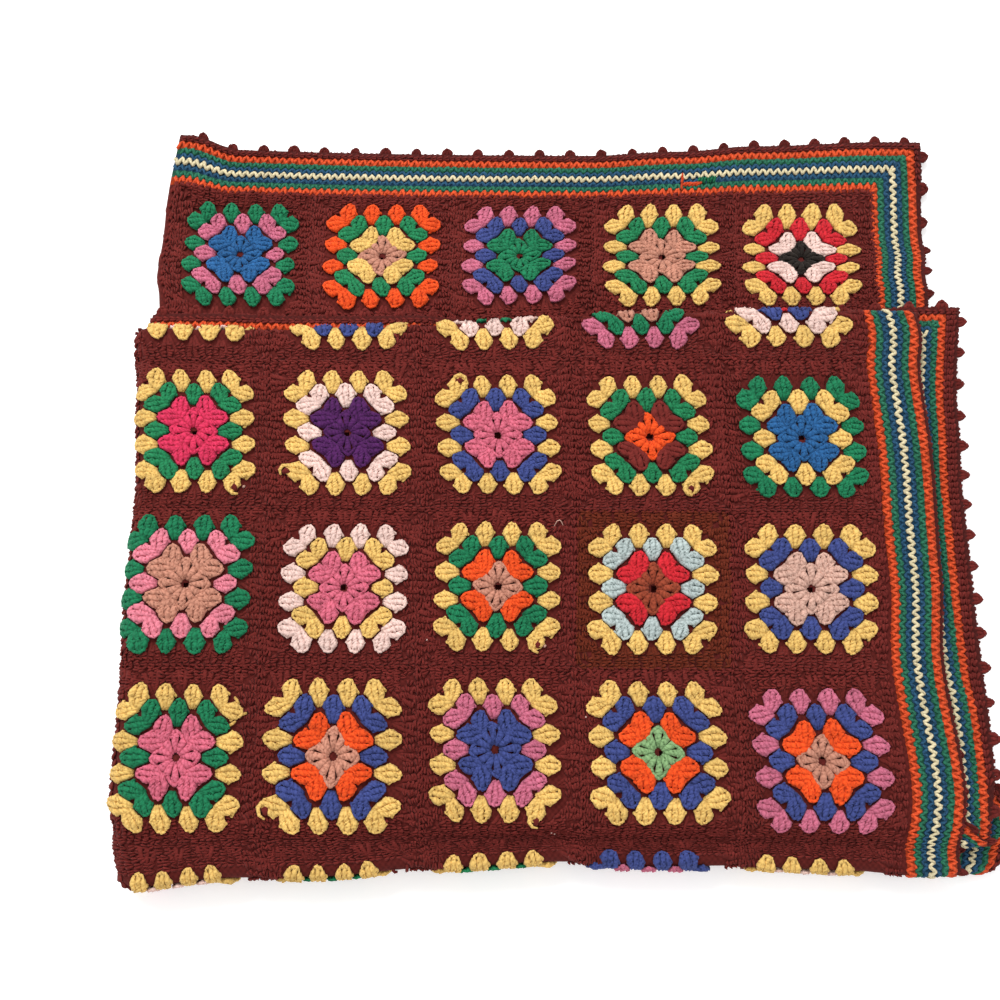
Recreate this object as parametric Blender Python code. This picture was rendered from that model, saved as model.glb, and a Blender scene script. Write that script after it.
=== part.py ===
"""Granny square blanket, folded for storage.

One crocheted sheet of 10 by 15 squares with a striped border and a picot edging. It is folded
back and forth across its length into four runs, and then once over itself along its length, so
that eight layers lie on each other. The free end at the far side sticks out from under the rest.

The sheet is laid out flat first, in the cloth's own directions, and is then folded:
  sigma  across the cloth, zero on the lengthwise fold, positive on the upper half
  v      along the cloth, zero on the far free end
  w      through the cloth, zero in the middle of its thickness
Model directions: +X from the lengthwise fold to the open side, +Y to the far end, +Z up.
"""
import math

import bmesh
import bpy
from mathutils import Vector
from mathutils.geometry import delaunay_2d_cdt

# The cloth, in metres
COLUMNS = 10
ROWS = 15
SQUARE_WIDTH = 0.115
SQUARE_LENGTH = 0.1185
BORDER = 0.041
CLOTH_THICKNESS = 0.0032
RING_HOLE = 0.0048
HALF_WIDTH = COLUMNS * SQUARE_WIDTH / 2 + BORDER
CLOTH_LENGTH = ROWS * SQUARE_LENGTH + 2 * BORDER

# The picots of the edging
PICOT_PITCH = 0.0255
PICOT_BASE = 0.0095
PICOT_HEIGHT = 0.0065

# The folded stack
LAYER_PITCH = 0.005
SPINE_X = -0.2609
SPINE_STATIONS = 8
FAR_END_Y = 0.5895
NEAR_FOLD_Y = -0.0025
TOP_FOLD_Y = 0.424
INNER_FOLD_Y = 0.022
INNER_RADIUS = LAYER_PITCH / 2
MIDDLE_Z = INNER_RADIUS + 3 * LAYER_PITCH + CLOTH_THICKNESS / 2
SPINE_HALF = math.pi / 2 * (INNER_RADIUS + 3 * LAYER_PITCH)

# The runs of the section, from the far end on: layer it lies on, y where it ends, steps of its fold
RUNS = (
    {"layer": 0, "ends_at": NEAR_FOLD_Y, "fold_steps": 7},
    {"layer": 3, "ends_at": TOP_FOLD_Y, "fold_steps": 5},
    {"layer": 2, "ends_at": INNER_FOLD_Y, "fold_steps": 5},
    {"layer": 1, "ends_at": None, "fold_steps": 0},
)

# How far the lengthwise fold lies off the cloth's middle line, towards the lower half, along the cloth
SPINE_SHIFT = (
    {"v": 0.00, "off": 0.009},
    {"v": 0.16, "off": 0.010},
    {"v": 0.40, "off": 0.000},
    {"v": 1.86, "off": 0.000},
)

# How far the open side reaches in x, along the cloth's length, on the upper and the lower half
OPEN_SIDE = (
    {"v": 0.00, "upper": 0.364, "lower": 0.360},
    {"v": 0.09, "upper": 0.357, "lower": 0.352},
    {"v": 0.13, "upper": 0.350, "lower": 0.348},
    {"v": 0.20, "upper": 0.345, "lower": 0.345},
    {"v": 0.45, "upper": 0.344, "lower": 0.344},
    {"v": 0.50, "upper": 0.342, "lower": 0.354},
    {"v": 0.55, "upper": 0.334, "lower": 0.374},
    {"v": 0.58, "upper": 0.323, "lower": 0.362},
    {"v": 0.62, "upper": 0.321, "lower": 0.340},
    {"v": 0.67, "upper": 0.330, "lower": 0.330},
    {"v": 0.76, "upper": 0.3235, "lower": 0.326},
    {"v": 0.82, "upper": 0.3285, "lower": 0.325},
    {"v": 0.93, "upper": 0.331, "lower": 0.323},
    {"v": 0.98, "upper": 0.329, "lower": 0.324},
    {"v": 1.01, "upper": 0.334, "lower": 0.326},
    {"v": 1.05, "upper": 0.327, "lower": 0.325},
    {"v": 1.10, "upper": 0.320, "lower": 0.322},
    {"v": 1.38, "upper": 0.328, "lower": 0.324},
    {"v": 1.43, "upper": 0.346, "lower": 0.332},
    {"v": 1.50, "upper": 0.356, "lower": 0.336},
    {"v": 1.60, "upper": 0.355, "lower": 0.340},
    {"v": 1.70, "upper": 0.355, "lower": 0.342},
    {"v": 1.76, "upper": 0.359, "lower": 0.343},
    {"v": 1.86, "upper": 0.372, "lower": 0.344},
)

# Cloth that one half of the lengthwise fold takes up, along the cloth's length
SPINE_TAKE = (
    {"v": 0.00, "take": 0.004},
    {"v": 0.42, "take": 0.008},
    {"v": 0.58, "take": SPINE_HALF},
    {"v": 1.04, "take": SPINE_HALF},
    {"v": 1.30, "take": 0.019},
    {"v": 1.85, "take": 0.012},
)

# Cloth drawn over the top fold at the lengthwise fold, fading to none at the open side
TOP_FOLD_DRAW = 0.0145
TOP_FOLD_V = 1.03
TOP_FOLD_DRAW_REACH = 0.10

# Cloth by which the hidden end stops short, s metres to either side of the middle line
END_DRAW = (
    {"s": 0.00, "draw": 0.0000},
    {"s": 0.11, "draw": 0.0080},
    {"s": 0.28, "draw": 0.0190},
    {"s": 0.46, "draw": 0.0225},
    {"s": 0.60, "draw": 0.0135},
)
END_DRAW_REACH = 0.25

# Sway of the lengthwise fold in x, and of the crosswise folds and the far end in y
SPINE_SWAY = (
    {"y": 0.000, "dx": 0.0145},
    {"y": 0.030, "dx": 0.0100},
    {"y": 0.060, "dx": 0.0050},
    {"y": 0.100, "dx": 0.0050},
    {"y": 0.210, "dx": 0.0013},
    {"y": 0.280, "dx": 0.0012},
    {"y": 0.360, "dx": -0.0050},
    {"y": 0.425, "dx": -0.0115},
    {"y": 0.447, "dx": -0.0110},
    {"y": 0.480, "dx": -0.0180},
    {"y": 0.530, "dx": -0.0190},
    {"y": 0.600, "dx": -0.0130},
)
NEAR_FOLD_REACH = 0.045

# The stack thins towards its near fold, where its edges round down
NEAR_DROOP = 0.20
NEAR_DROOP_REACH = 0.050
NEAR_FOLD_SWAY = (
    {"x": -0.270, "dy": 0.001},
    {"x": -0.200, "dy": 0.008},
    {"x": -0.140, "dy": 0.009},
    {"x": -0.060, "dy": 0.015},
    {"x": 0.036, "dy": 0.020},
    {"x": 0.100, "dy": 0.017},
    {"x": 0.160, "dy": 0.018},
    {"x": 0.250, "dy": 0.015},
    {"x": 0.290, "dy": 0.012},
    {"x": 0.340, "dy": 0.013},
    {"x": 0.385, "dy": 0.028},
)
TOP_FOLD_SWAY = (
    {"x": -0.290, "dy": -0.009},
    {"x": -0.220, "dy": -0.011},
    {"x": 0.300, "dy": 0.008},
)
FAR_END_SWAY = (
    {"x": -0.285, "dy": 0.019},
    {"x": -0.255, "dy": 0.016},
    {"x": -0.210, "dy": 0.002},
    {"x": 0.080, "dy": 0.000},
    {"x": 0.160, "dy": 0.005},
    {"x": 0.220, "dy": 0.011},
    {"x": 0.330, "dy": 0.016},
)

# Soft swells of the stack, where its layers lie looser or tighter
SWELLS = (
    {"x": -0.23, "y": 0.06, "radius": 0.10, "rise": 0.10},
    {"x": 0.02, "y": 0.20, "radius": 0.13, "rise": 0.05},
    {"x": 0.27, "y": 0.08, "radius": 0.12, "rise": -0.06},
    {"x": -0.12, "y": 0.38, "radius": 0.10, "rise": -0.05},
    {"x": 0.20, "y": 0.36, "radius": 0.10, "rise": 0.05},
    {"x": -0.24, "y": 0.57, "radius": 0.06, "rise": 0.50},
    {"x": 0.10, "y": 0.54, "radius": 0.08, "rise": 0.18},
)

# The free end comes down from the stack to the surface between these places
DROP_FROM_Y = 0.450
DROP_TO_Y = 0.520
DROP = MIDDLE_Z - INNER_RADIUS - CLOTH_THICKNESS / 2

GROUND_BROWN = (0.107, 0.020, 0.017, 1.0)


def ease(share):
    """Smooth step from 0 to 1."""
    share = min(max(share, 0.0), 1.0)
    return share * share * (3 - 2 * share)


def along(table, key, value, at):
    """Value of a table's column at a place on its key column, eased between the rows."""
    before = table[0]
    for row in table[1:]:
        if at < row[key]:
            share = (at - before[key]) / (row[key] - before[key])
            return before[value] + (row[value] - before[value]) * ease(share)
        before = row
    return before[value]


def section_pieces():
    """Straight runs and half-round folds of the crosswise section, in order along the cloth."""
    pieces = []
    v = 0.0
    y = FAR_END_Y
    for run, following in zip(RUNS, RUNS[1:] + (None,)):
        height = run["layer"] * LAYER_PITCH
        if following is None:
            pieces.append({"kind": "run", "v": v, "length": CLOTH_LENGTH - v, "y": y, "way": 1, "n": height})
            break
        way = -1 if run["ends_at"] < y else 1
        rise = (following["layer"] - run["layer"]) * LAYER_PITCH
        radius = abs(rise) / 2
        turn_y = run["ends_at"] - way * radius
        length = abs(turn_y - y)
        pieces.append({"kind": "run", "v": v, "length": length, "y": y, "way": way, "n": height})
        v += length
        pieces.append({"kind": "fold", "v": v, "length": math.pi * radius, "y": turn_y, "way": way,
                       "n": height + rise / 2, "radius": radius, "rise": math.copysign(1, rise),
                       "steps": run["fold_steps"]})
        v += math.pi * radius
        y = turn_y
    return pieces


SECTION = section_pieces()


def section_point(v, w):
    """Place (y, n) of a point of the crosswise section, w metres off the cloth's middle."""
    piece = next((p for p in SECTION if v < p["v"] + p["length"]), SECTION[-1])
    if piece["kind"] == "run":
        return piece["y"] + piece["way"] * (v - piece["v"]), piece["n"] + piece["way"] * w
    angle = math.pi * (v - piece["v"]) / piece["length"]
    side = piece["way"] * piece["rise"]
    radius = piece["radius"] - side * w
    return (piece["y"] + piece["way"] * radius * math.sin(angle),
            piece["n"] - piece["rise"] * radius * math.cos(angle))


def settle(x, y, z):
    """Uneven lie of the whole stack: swaying folds, soft swells and the free end's drop."""
    reach = (x - SPINE_X) / (OPEN_SIDE[0]["upper"] - SPINE_X)
    dx = along(SPINE_SWAY, "y", "dx", y) * (1 - 0.8 * ease(reach))
    near = 1 - ease(y / NEAR_FOLD_REACH)
    top = ease(1 - abs(y - TOP_FOLD_Y) / 0.10)
    far = ease((y - 0.50) / (FAR_END_Y - 0.50))
    dy = (near * along(NEAR_FOLD_SWAY, "x", "dy", x) + top * along(TOP_FOLD_SWAY, "x", "dy", x)
          + far * along(FAR_END_SWAY, "x", "dy", x))
    swell = 1.0 - NEAR_DROOP * ease(1 - y / NEAR_DROOP_REACH)
    for bump in SWELLS:
        off = ((x - bump["x"]) ** 2 + (y - bump["y"]) ** 2) / (2 * bump["radius"] ** 2)
        swell += bump["rise"] * math.exp(-off)
    z -= DROP * ease((y - DROP_FROM_Y) / (DROP_TO_Y - DROP_FROM_Y))
    return x + dx, y + dy, z * swell


def fold(sigma, v, w):
    """Folded place of a point of the flat cloth."""
    y, n = section_point(v, w)
    radius = INNER_RADIUS + n
    if abs(sigma) < SPINE_HALF:
        angle = math.pi / 2 * sigma / SPINE_HALF
        return settle(SPINE_X - radius * math.cos(angle), y, MIDDLE_Z + radius * math.sin(angle))
    side = math.copysign(1, sigma)
    return settle(SPINE_X + abs(sigma) - SPINE_HALF, y, MIDDLE_Z + side * radius)


def open_side(v, side):
    """Station sigma of the open side's edge on the upper (1) or the lower (-1) half."""
    reach = along(OPEN_SIDE, "v", "upper" if side > 0 else "lower", v)
    return side * (reach - SPINE_X + SPINE_HALF)


def station(s, v):
    """Station sigma of a point that lies s metres from the cloth's middle line."""
    s += along(SPINE_SHIFT, "v", "off", v) * (1 - abs(s) / HALF_WIDTH)
    take = along(SPINE_TAKE, "v", "take", v)
    side = math.copysign(1, s)
    if abs(s) < take:
        return SPINE_HALF * s / take
    share = (abs(s) - take) / (HALF_WIDTH - take)
    return side * SPINE_HALF + share * (open_side(v, side) - side * SPINE_HALF)


def drawn(s, v):
    """Place along the folded cloth of a point s metres from the middle line and v along the cloth."""
    open_share = ease(abs(s) / HALF_WIDTH)
    over_top = TOP_FOLD_DRAW * ease(1 - abs(v - TOP_FOLD_V) / TOP_FOLD_DRAW_REACH)
    short = along(END_DRAW, "s", "draw", abs(s)) * ease(1 - (CLOTH_LENGTH - v) / END_DRAW_REACH)
    return v + over_top * (1 - open_share) - short


def picot(middle, out, forward):
    """Three corners of one picot: out is its height's direction, forward the edge's."""
    middle = Vector(middle)
    half_base = Vector(forward) * PICOT_BASE / 2
    return [middle - half_base, middle + Vector(out) * PICOT_HEIGHT, middle + half_base]


def picot_places(start, end, keep_clear):
    """Even places of the picots from start to end, without those that meet a fold."""
    count = round(abs(end - start) / PICOT_PITCH)
    places = [start + (end - start) * (i + 0.5) / count for i in range(count)]
    return [p for p in places if all(not lo - PICOT_BASE < p < hi + PICOT_BASE for lo, hi in keep_clear)]


def outline():
    """Outline of the flat cloth with its picots, anticlockwise in (sigma, v)."""
    bend = [(-SPINE_HALF, SPINE_HALF)]
    folds = [(p["v"], p["v"] + p["length"]) for p in SECTION if p["kind"] == "fold"]
    points = []
    for end, forward in ((0.0, 1), (CLOTH_LENGTH, -1)):
        start = drawn(HALF_WIDTH, end)
        points.append(Vector((open_side(start, -forward), start)))
        for s in picot_places(open_side(start, -forward), open_side(start, forward), bend):
            points += picot((s, drawn(s, end)), (0, -forward), (forward, 0))
        points.append(Vector((open_side(start, forward), start)))
        stop = drawn(HALF_WIDTH, CLOTH_LENGTH - end)
        for at in picot_places(start, stop, folds):
            points += picot((open_side(at, forward), at), (forward, 0), (0, forward))
    return points


def ring_holes():
    """The open ring in the middle of each square, as corner points in (sigma, v)."""
    holes = []
    for column in range(COLUMNS):
        for row in range(ROWS):
            s = (column + 0.5) * SQUARE_WIDTH - COLUMNS * SQUARE_WIDTH / 2
            v = drawn(s, BORDER + (row + 0.5) * SQUARE_LENGTH)
            middle = Vector((station(s, v), v))
            corners = ((1, 1), (-1, 1), (-1, -1), (1, -1))
            holes.append([middle + Vector(c) * RING_HOLE / 2 for c in corners])
    return holes


def even_steps(start, end, step):
    """Evenly spread values from start to end, at most about a step apart."""
    count = max(1, round(abs(end - start) / step))
    return [start + (end - start) * i / count for i in range(count + 1)]


def lattice_lines():
    """Stations across and along the cloth where the folded sheet may bend."""
    across = even_steps(-SPINE_HALF, SPINE_HALF, 2 * SPINE_HALF / SPINE_STATIONS)
    spine = list(across)
    for side in (-1, 1):
        start = side * SPINE_HALF
        across += even_steps(start, side * (SPINE_HALF + HALF_WIDTH - 0.035), SQUARE_WIDTH / 2)[1:]
    lengthwise = []
    creases = []
    for piece in SECTION:
        step = piece["length"] / piece["steps"] if piece["kind"] == "fold" else SQUARE_LENGTH / 2
        lines = even_steps(piece["v"], piece["v"] + piece["length"], step)
        lengthwise += lines[:-1]
        if piece["kind"] == "fold":
            creases += lines
    return spine, across, lengthwise[1:], creases


def flat_sheet():
    """Triangles of the flat cloth between its outline and its ring holes."""
    points = []
    edges = []

    def add_loop(loop):
        first = len(points)
        points.extend(loop)
        edges.extend((first + i, first + (i + 1) % len(loop)) for i in range(len(loop)))

    def add_line(start, end):
        edges.append((len(points), len(points) + 1))
        points.extend((Vector(start), Vector(end)))

    border = outline()
    holes = ring_holes()
    add_loop(border)
    for hole in holes:
        add_loop(hole)
    spine, across, lengthwise, creases = lattice_lines()
    for s in spine:
        add_line((s, 0.0), (s, CLOTH_LENGTH))
    for v in creases:
        add_line((open_side(v, -1), v), (open_side(v, 1), v))
    middles = [sum(hole, Vector((0, 0))) / len(hole) for hole in holes]
    for v in lengthwise:
        for s in across:
            place = Vector((s, v))
            if all((place - middle).length > RING_HOLE for middle in middles):
                points.append(place)
    result = delaunay_2d_cdt(points, edges, [], 1, 1e-6)
    places, faces = result[0], result[2]
    kept = []
    for face in faces:
        centre = sum((places[i] for i in face), Vector((0, 0))) / len(face)
        if all((centre - middle).length > RING_HOLE / 2 for middle in middles):
            kept.append(face)
    return places, kept


def blanket_mesh():
    """The folded sheet as one closed mesh."""
    places, faces = flat_sheet()
    bm = bmesh.new()
    verts = [bm.verts.new((p.x, p.y, -CLOTH_THICKNESS / 2)) for p in places]
    for face in faces:
        bm.faces.new([verts[i] for i in face])
    bmesh.ops.delete(bm, geom=[v for v in bm.verts if not v.link_faces], context="VERTS")
    grown = bmesh.ops.extrude_face_region(bm, geom=bm.faces[:], use_keep_orig=True)
    upper = [item for item in grown["geom"] if isinstance(item, bmesh.types.BMVert)]
    bmesh.ops.translate(bm, verts=upper, vec=(0, 0, CLOTH_THICKNESS))
    bmesh.ops.recalc_face_normals(bm, faces=bm.faces[:])
    for vert in bm.verts:
        vert.co = fold(*vert.co)
    low = [min(v.co[i] for v in bm.verts) for i in range(3)]
    high = [max(v.co[i] for v in bm.verts) for i in range(3)]
    to_origin = (-(low[0] + high[0]) / 2, -(low[1] + high[1]) / 2, -low[2])
    bmesh.ops.translate(bm, verts=bm.verts[:], vec=to_origin)
    mesh = bpy.data.meshes.new("blanket")
    bm.to_mesh(mesh)
    bm.free()
    return mesh


def ground_yarn():
    """Dark brown wool-like yarn."""
    material = bpy.data.materials.new("ground_yarn")
    material.use_nodes = True
    shader = material.node_tree.nodes["Principled BSDF"]
    shader.inputs["Base Color"].default_value = GROUND_BROWN
    shader.inputs["Roughness"].default_value = 0.9
    shader.inputs["Metallic"].default_value = 0.0
    return material


def main():
    for old in list(bpy.data.objects):
        bpy.data.objects.remove(old, do_unlink=True)
    collection = bpy.data.collections.new("granny_square_blanket")
    bpy.context.scene.collection.children.link(collection)
    mesh = blanket_mesh()
    mesh.materials.append(ground_yarn())
    collection.objects.link(bpy.data.objects.new("blanket", mesh))


main()
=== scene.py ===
"""Looks of a folded granny square blanket, in metres: +X to the open side, +Y to the far end, +Z up.

Every stitch is first laid on the flat cloth and then carried over the folds by FoldedCloth.place:
  s  across the cloth from its middle line, which is the lengthwise fold; positive on the upper half
  v  along the cloth from its far free end
  w  through the cloth from the middle of its thickness
"""
import itertools
import logging
import math
import random
from collections import defaultdict
from dataclasses import dataclass, field
from enum import Enum
from typing import Callable, Iterable, Sequence

import bpy
import numpy as np
from bpy.types import Material, Mesh, Node, NodeInputs, NodeOutputs, NodeSocket, NodeTree, Object
from mathutils import Euler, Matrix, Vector


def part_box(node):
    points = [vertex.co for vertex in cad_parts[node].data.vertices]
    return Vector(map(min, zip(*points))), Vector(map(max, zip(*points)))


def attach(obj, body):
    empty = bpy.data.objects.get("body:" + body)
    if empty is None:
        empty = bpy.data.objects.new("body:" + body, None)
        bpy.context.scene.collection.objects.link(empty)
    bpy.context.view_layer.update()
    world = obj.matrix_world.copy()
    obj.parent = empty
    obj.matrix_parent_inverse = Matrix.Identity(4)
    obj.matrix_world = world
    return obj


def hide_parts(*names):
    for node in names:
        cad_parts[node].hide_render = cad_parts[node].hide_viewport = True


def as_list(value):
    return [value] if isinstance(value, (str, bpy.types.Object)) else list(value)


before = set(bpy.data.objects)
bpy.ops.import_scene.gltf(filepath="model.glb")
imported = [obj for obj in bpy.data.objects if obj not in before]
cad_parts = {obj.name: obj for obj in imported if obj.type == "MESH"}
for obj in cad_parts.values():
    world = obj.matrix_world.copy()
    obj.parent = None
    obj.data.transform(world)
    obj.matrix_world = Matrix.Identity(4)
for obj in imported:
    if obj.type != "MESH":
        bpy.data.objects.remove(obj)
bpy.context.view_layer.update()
CLOTH_NODE = "blanket"
BODY = "root"
MM = 0.001

log = logging.getLogger("blanket")


# --------------------------------------------------------------------------- the cloth and its folds

def ease(share: np.ndarray) -> np.ndarray:
    """Smooth step from 0 to 1."""
    share = np.clip(share, 0.0, 1.0)
    return share * share * (3.0 - 2.0 * share)


@dataclass(frozen=True)
class Curve:
    """A quantity given at a few places and eased between them."""

    places: tuple[float, ...]
    values: tuple[float, ...]

    def at(self, place: np.ndarray) -> np.ndarray:
        """Value at each place.

        Args:
            place: Places on the key axis.

        Returns:
            The eased values, constant beyond the first and the last place.
        """
        keys = np.asarray(self.places)
        vals = np.asarray(self.values)
        row = np.clip(np.searchsorted(keys, place, side="right") - 1, 0, len(keys) - 2)
        share = (place - keys[row]) / (keys[row + 1] - keys[row])
        return vals[row] + (vals[row + 1] - vals[row]) * ease(share)


@dataclass(frozen=True)
class Piece:
    """One straight run or one half-round fold of the crosswise section."""

    is_fold: bool
    start: float
    length: float
    y: float
    way: int
    n: float
    radius: float = 0.0
    rise: float = 1.0


@dataclass(frozen=True)
class Swell:
    """A soft rise or dip of the whole stack."""

    x: float
    y: float
    radius: float
    rise: float


# Places along the cloth at which the open side's reach is given, before and after the inner fold
SIDE_BEFORE = (0.00, 0.09, 0.13, 0.20, 0.45, 0.50, 0.55, 0.58, 0.62, 0.67, 0.76, 0.82, 0.93, 0.98, 1.01, 1.05,
               1.10)
SIDE_AFTER = (1.50, 1.60, 1.70, 1.76, 1.86)


@dataclass
class FoldedCloth:
    """The blanket's flat size and the rule that folds it."""

    columns: int = 10
    rows: int = 15
    square_width: float = 0.115
    square_length: float = 0.1185
    border: float = 0.041
    ring_hole: float = 0.0048
    layer_pitch: float = 0.005
    solid_thickness: float = 0.0032
    spine_x: float = -0.2609
    far_end_y: float = 0.5895
    near_fold_y: float = -0.0025
    top_fold_y: float = 0.424
    inner_fold_y: float = 0.022
    inner_radius: float = 0.0025
    top_fold_draw: float = 0.0145
    top_fold_v: float = 1.03
    top_fold_draw_reach: float = 0.10
    end_draw: Curve = Curve((0.0, 0.05, 0.11, 0.20, 0.28, 0.46, 0.60),
                            (0.0075, 0.0055, 0.0070, 0.0090, 0.0205, 0.0230, 0.0135))
    end_draw_reach: float = 0.25
    near_fold_reach: float = 0.045
    near_droop: float = 0.20
    near_droop_reach: float = 0.050
    spine_sway_fade: float = 0.8
    top_fold_reach: float = 0.10
    free_end_from_y: float = 0.50
    drop_from_y: float = 0.450
    drop_to_y: float = 0.520
    spine_shift: Curve = Curve((0.0, 0.16, 0.40), (0.009, 0.010, 0.0))
    upper_side: Curve = Curve(SIDE_BEFORE + (1.407, 1.434) + SIDE_AFTER,
                              (0.364, 0.357, 0.35, 0.345, 0.344, 0.342, 0.334, 0.323, 0.321, 0.33, 0.3235,
                               0.3285, 0.331, 0.329, 0.334, 0.327, 0.32, 0.328, 0.346, 0.356, 0.355, 0.355,
                               0.359, 0.372))
    lower_side: Curve = Curve(SIDE_BEFORE + (1.38, 1.43) + SIDE_AFTER,
                              (0.36, 0.352, 0.348, 0.345, 0.344, 0.354, 0.374, 0.362, 0.34, 0.33, 0.326,
                               0.325, 0.323, 0.324, 0.326, 0.325, 0.322, 0.324, 0.332, 0.336, 0.34, 0.342,
                               0.343, 0.344))
    spine_sway: Curve = Curve((0.0, 0.03, 0.06, 0.10, 0.21, 0.28, 0.36, 0.425, 0.447, 0.48, 0.53, 0.60),
                              (0.0145, 0.010, 0.005, 0.005, 0.0013, 0.0012, -0.005, -0.0115, -0.011, -0.018,
                               -0.019, -0.013))
    near_sway: Curve = Curve((-0.27, -0.20, -0.14, -0.06, 0.036, 0.10, 0.16, 0.25, 0.29, 0.34, 0.385),
                             (0.001, 0.008, 0.009, 0.015, 0.020, 0.017, 0.018, 0.015, 0.012, 0.013, 0.028))
    top_sway: Curve = Curve((-0.29, -0.22, 0.30), (-0.009, -0.011, 0.008))
    far_sway: Curve = Curve((-0.285, -0.255, -0.21, 0.08, 0.16, 0.22, 0.33),
                            (0.019, 0.016, 0.002, 0.0, 0.005, 0.011, 0.016))
    swells: tuple[Swell, ...] = (
        Swell(-0.23, 0.06, 0.10, 0.10), Swell(0.02, 0.20, 0.13, 0.05), Swell(0.27, 0.08, 0.12, -0.06),
        Swell(-0.12, 0.38, 0.10, -0.05), Swell(0.20, 0.36, 0.10, 0.05), Swell(-0.24, 0.57, 0.06, 0.50),
        Swell(0.10, 0.54, 0.08, 0.18))
    spine_probe: tuple[tuple[float, float, int], ...] = ((-0.002, 0.002, 5), (0.55, 1.08, 213))
    near_probe: tuple[tuple[float, float, int], ...] = ((-0.03, 0.61, 129), (0.56, 0.63, 141))
    shift: tuple[float, float] = (0.0, 0.0)
    pieces: list[Piece] = field(default_factory=list)

    def __post_init__(self) -> None:
        """Works out the sizes that follow from the others."""
        self.half_width = self.columns * self.square_width / 2 + self.border
        self.length = self.rows * self.square_length + 2 * self.border
        self.middle_z = self.inner_radius + 3 * self.layer_pitch + self.solid_thickness / 2
        self.spine_half = math.pi / 2 * (self.inner_radius + 3 * self.layer_pitch)
        self.spine_take = Curve((0.0, 0.42, 0.58, 1.04, 1.30, 1.85),
                                (0.004, 0.008, self.spine_half, self.spine_half, 0.019, 0.012))
        self.drop = self.middle_z - self.inner_radius - self.solid_thickness / 2
        self.pieces = self._section()

    def _section(self) -> list[Piece]:
        """Runs and folds of the crosswise section, in order along the cloth.

        Returns:
            The pieces, from the free end to the hidden one.
        """
        runs = ((0, self.near_fold_y), (3, self.top_fold_y), (2, self.inner_fold_y), (1, None))
        pieces: list[Piece] = []
        v, y = 0.0, self.far_end_y
        for (layer, ends_at), following in zip(runs, runs[1:] + (None,)):
            height = layer * self.layer_pitch
            if following is None:
                pieces.append(Piece(False, v, self.length - v, y, 1, height))
                break
            way = -1 if ends_at < y else 1
            rise = (following[0] - layer) * self.layer_pitch
            radius = abs(rise) / 2
            turn_y = ends_at - way * radius
            pieces.append(Piece(False, v, abs(turn_y - y), y, way, height))
            v += abs(turn_y - y)
            pieces.append(Piece(True, v, math.pi * radius, turn_y, way, height + rise / 2, radius,
                                math.copysign(1, rise)))
            v += math.pi * radius
            y = turn_y
        return pieces

    def drawn(self, s: np.ndarray, v: np.ndarray) -> np.ndarray:
        """Place along the cloth once the folds have drawn it in.

        Args:
            s: Places across the flat cloth.
            v: Places along the flat cloth.

        Returns:
            Places along the cloth as it lies.
        """
        open_share = ease(np.abs(s) / self.half_width)
        over_top = self.top_fold_draw * ease(1 - np.abs(v - self.top_fold_v) / self.top_fold_draw_reach)
        short = self.end_draw.at(np.abs(s)) * ease(1 - (self.length - v) / self.end_draw_reach)
        return v + over_top * (1 - open_share) - short

    def _section_point(self, v: np.ndarray, w: np.ndarray) -> tuple[np.ndarray, np.ndarray]:
        """Place in the crosswise section.

        Args:
            v: Places along the cloth.
            w: Places through the cloth.

        Returns:
            The y of each point, and its distance n outwards from the innermost layer.
        """
        y = np.zeros_like(v)
        n = np.zeros_like(v)
        for number, piece in enumerate(self.pieces):
            low = -np.inf if number == 0 else piece.start
            high = np.inf if number == len(self.pieces) - 1 else piece.start + piece.length
            here = (v >= low) & (v < high)
            along = v[here] - piece.start
            if piece.is_fold:
                angle = math.pi * along / piece.length
                radius = piece.radius - piece.way * piece.rise * w[here]
                y[here] = piece.y + piece.way * radius * np.sin(angle)
                n[here] = piece.n - piece.rise * radius * np.cos(angle)
            else:
                y[here] = piece.y + piece.way * along
                n[here] = piece.n + piece.way * w[here]
        return y, n

    def _settle(self, x: np.ndarray, y: np.ndarray, z: np.ndarray) -> np.ndarray:
        """Uneven lie of the whole stack: swaying folds, soft swells and the free end's drop.

        Args:
            x: First coordinate of the evenly folded points.
            y: Second coordinate.
            z: Height.

        Returns:
            Points (x, y, z), one a row.
        """
        reach = (x - self.spine_x) / (self.upper_side.values[0] - self.spine_x)
        dx = self.spine_sway.at(y) * (1 - self.spine_sway_fade * ease(reach))
        near = (1 - ease(y / self.near_fold_reach)) * self.near_sway.at(x)
        top = ease(1 - np.abs(y - self.top_fold_y) / self.top_fold_reach) * self.top_sway.at(x)
        free = (y - self.free_end_from_y) / (self.far_end_y - self.free_end_from_y)
        far = ease(free) * self.far_sway.at(x)
        swell = 1 - self.near_droop * ease(1 - y / self.near_droop_reach)
        for bump in self.swells:
            off = ((x - bump.x) ** 2 + (y - bump.y) ** 2) / (2 * bump.radius ** 2)
            swell += bump.rise * np.exp(-off)
        z = z - self.drop * ease((y - self.drop_from_y) / (self.drop_to_y - self.drop_from_y))
        return np.stack([x + dx + self.shift[0], y + near + top + far + self.shift[1], z * swell], axis=-1)

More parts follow.
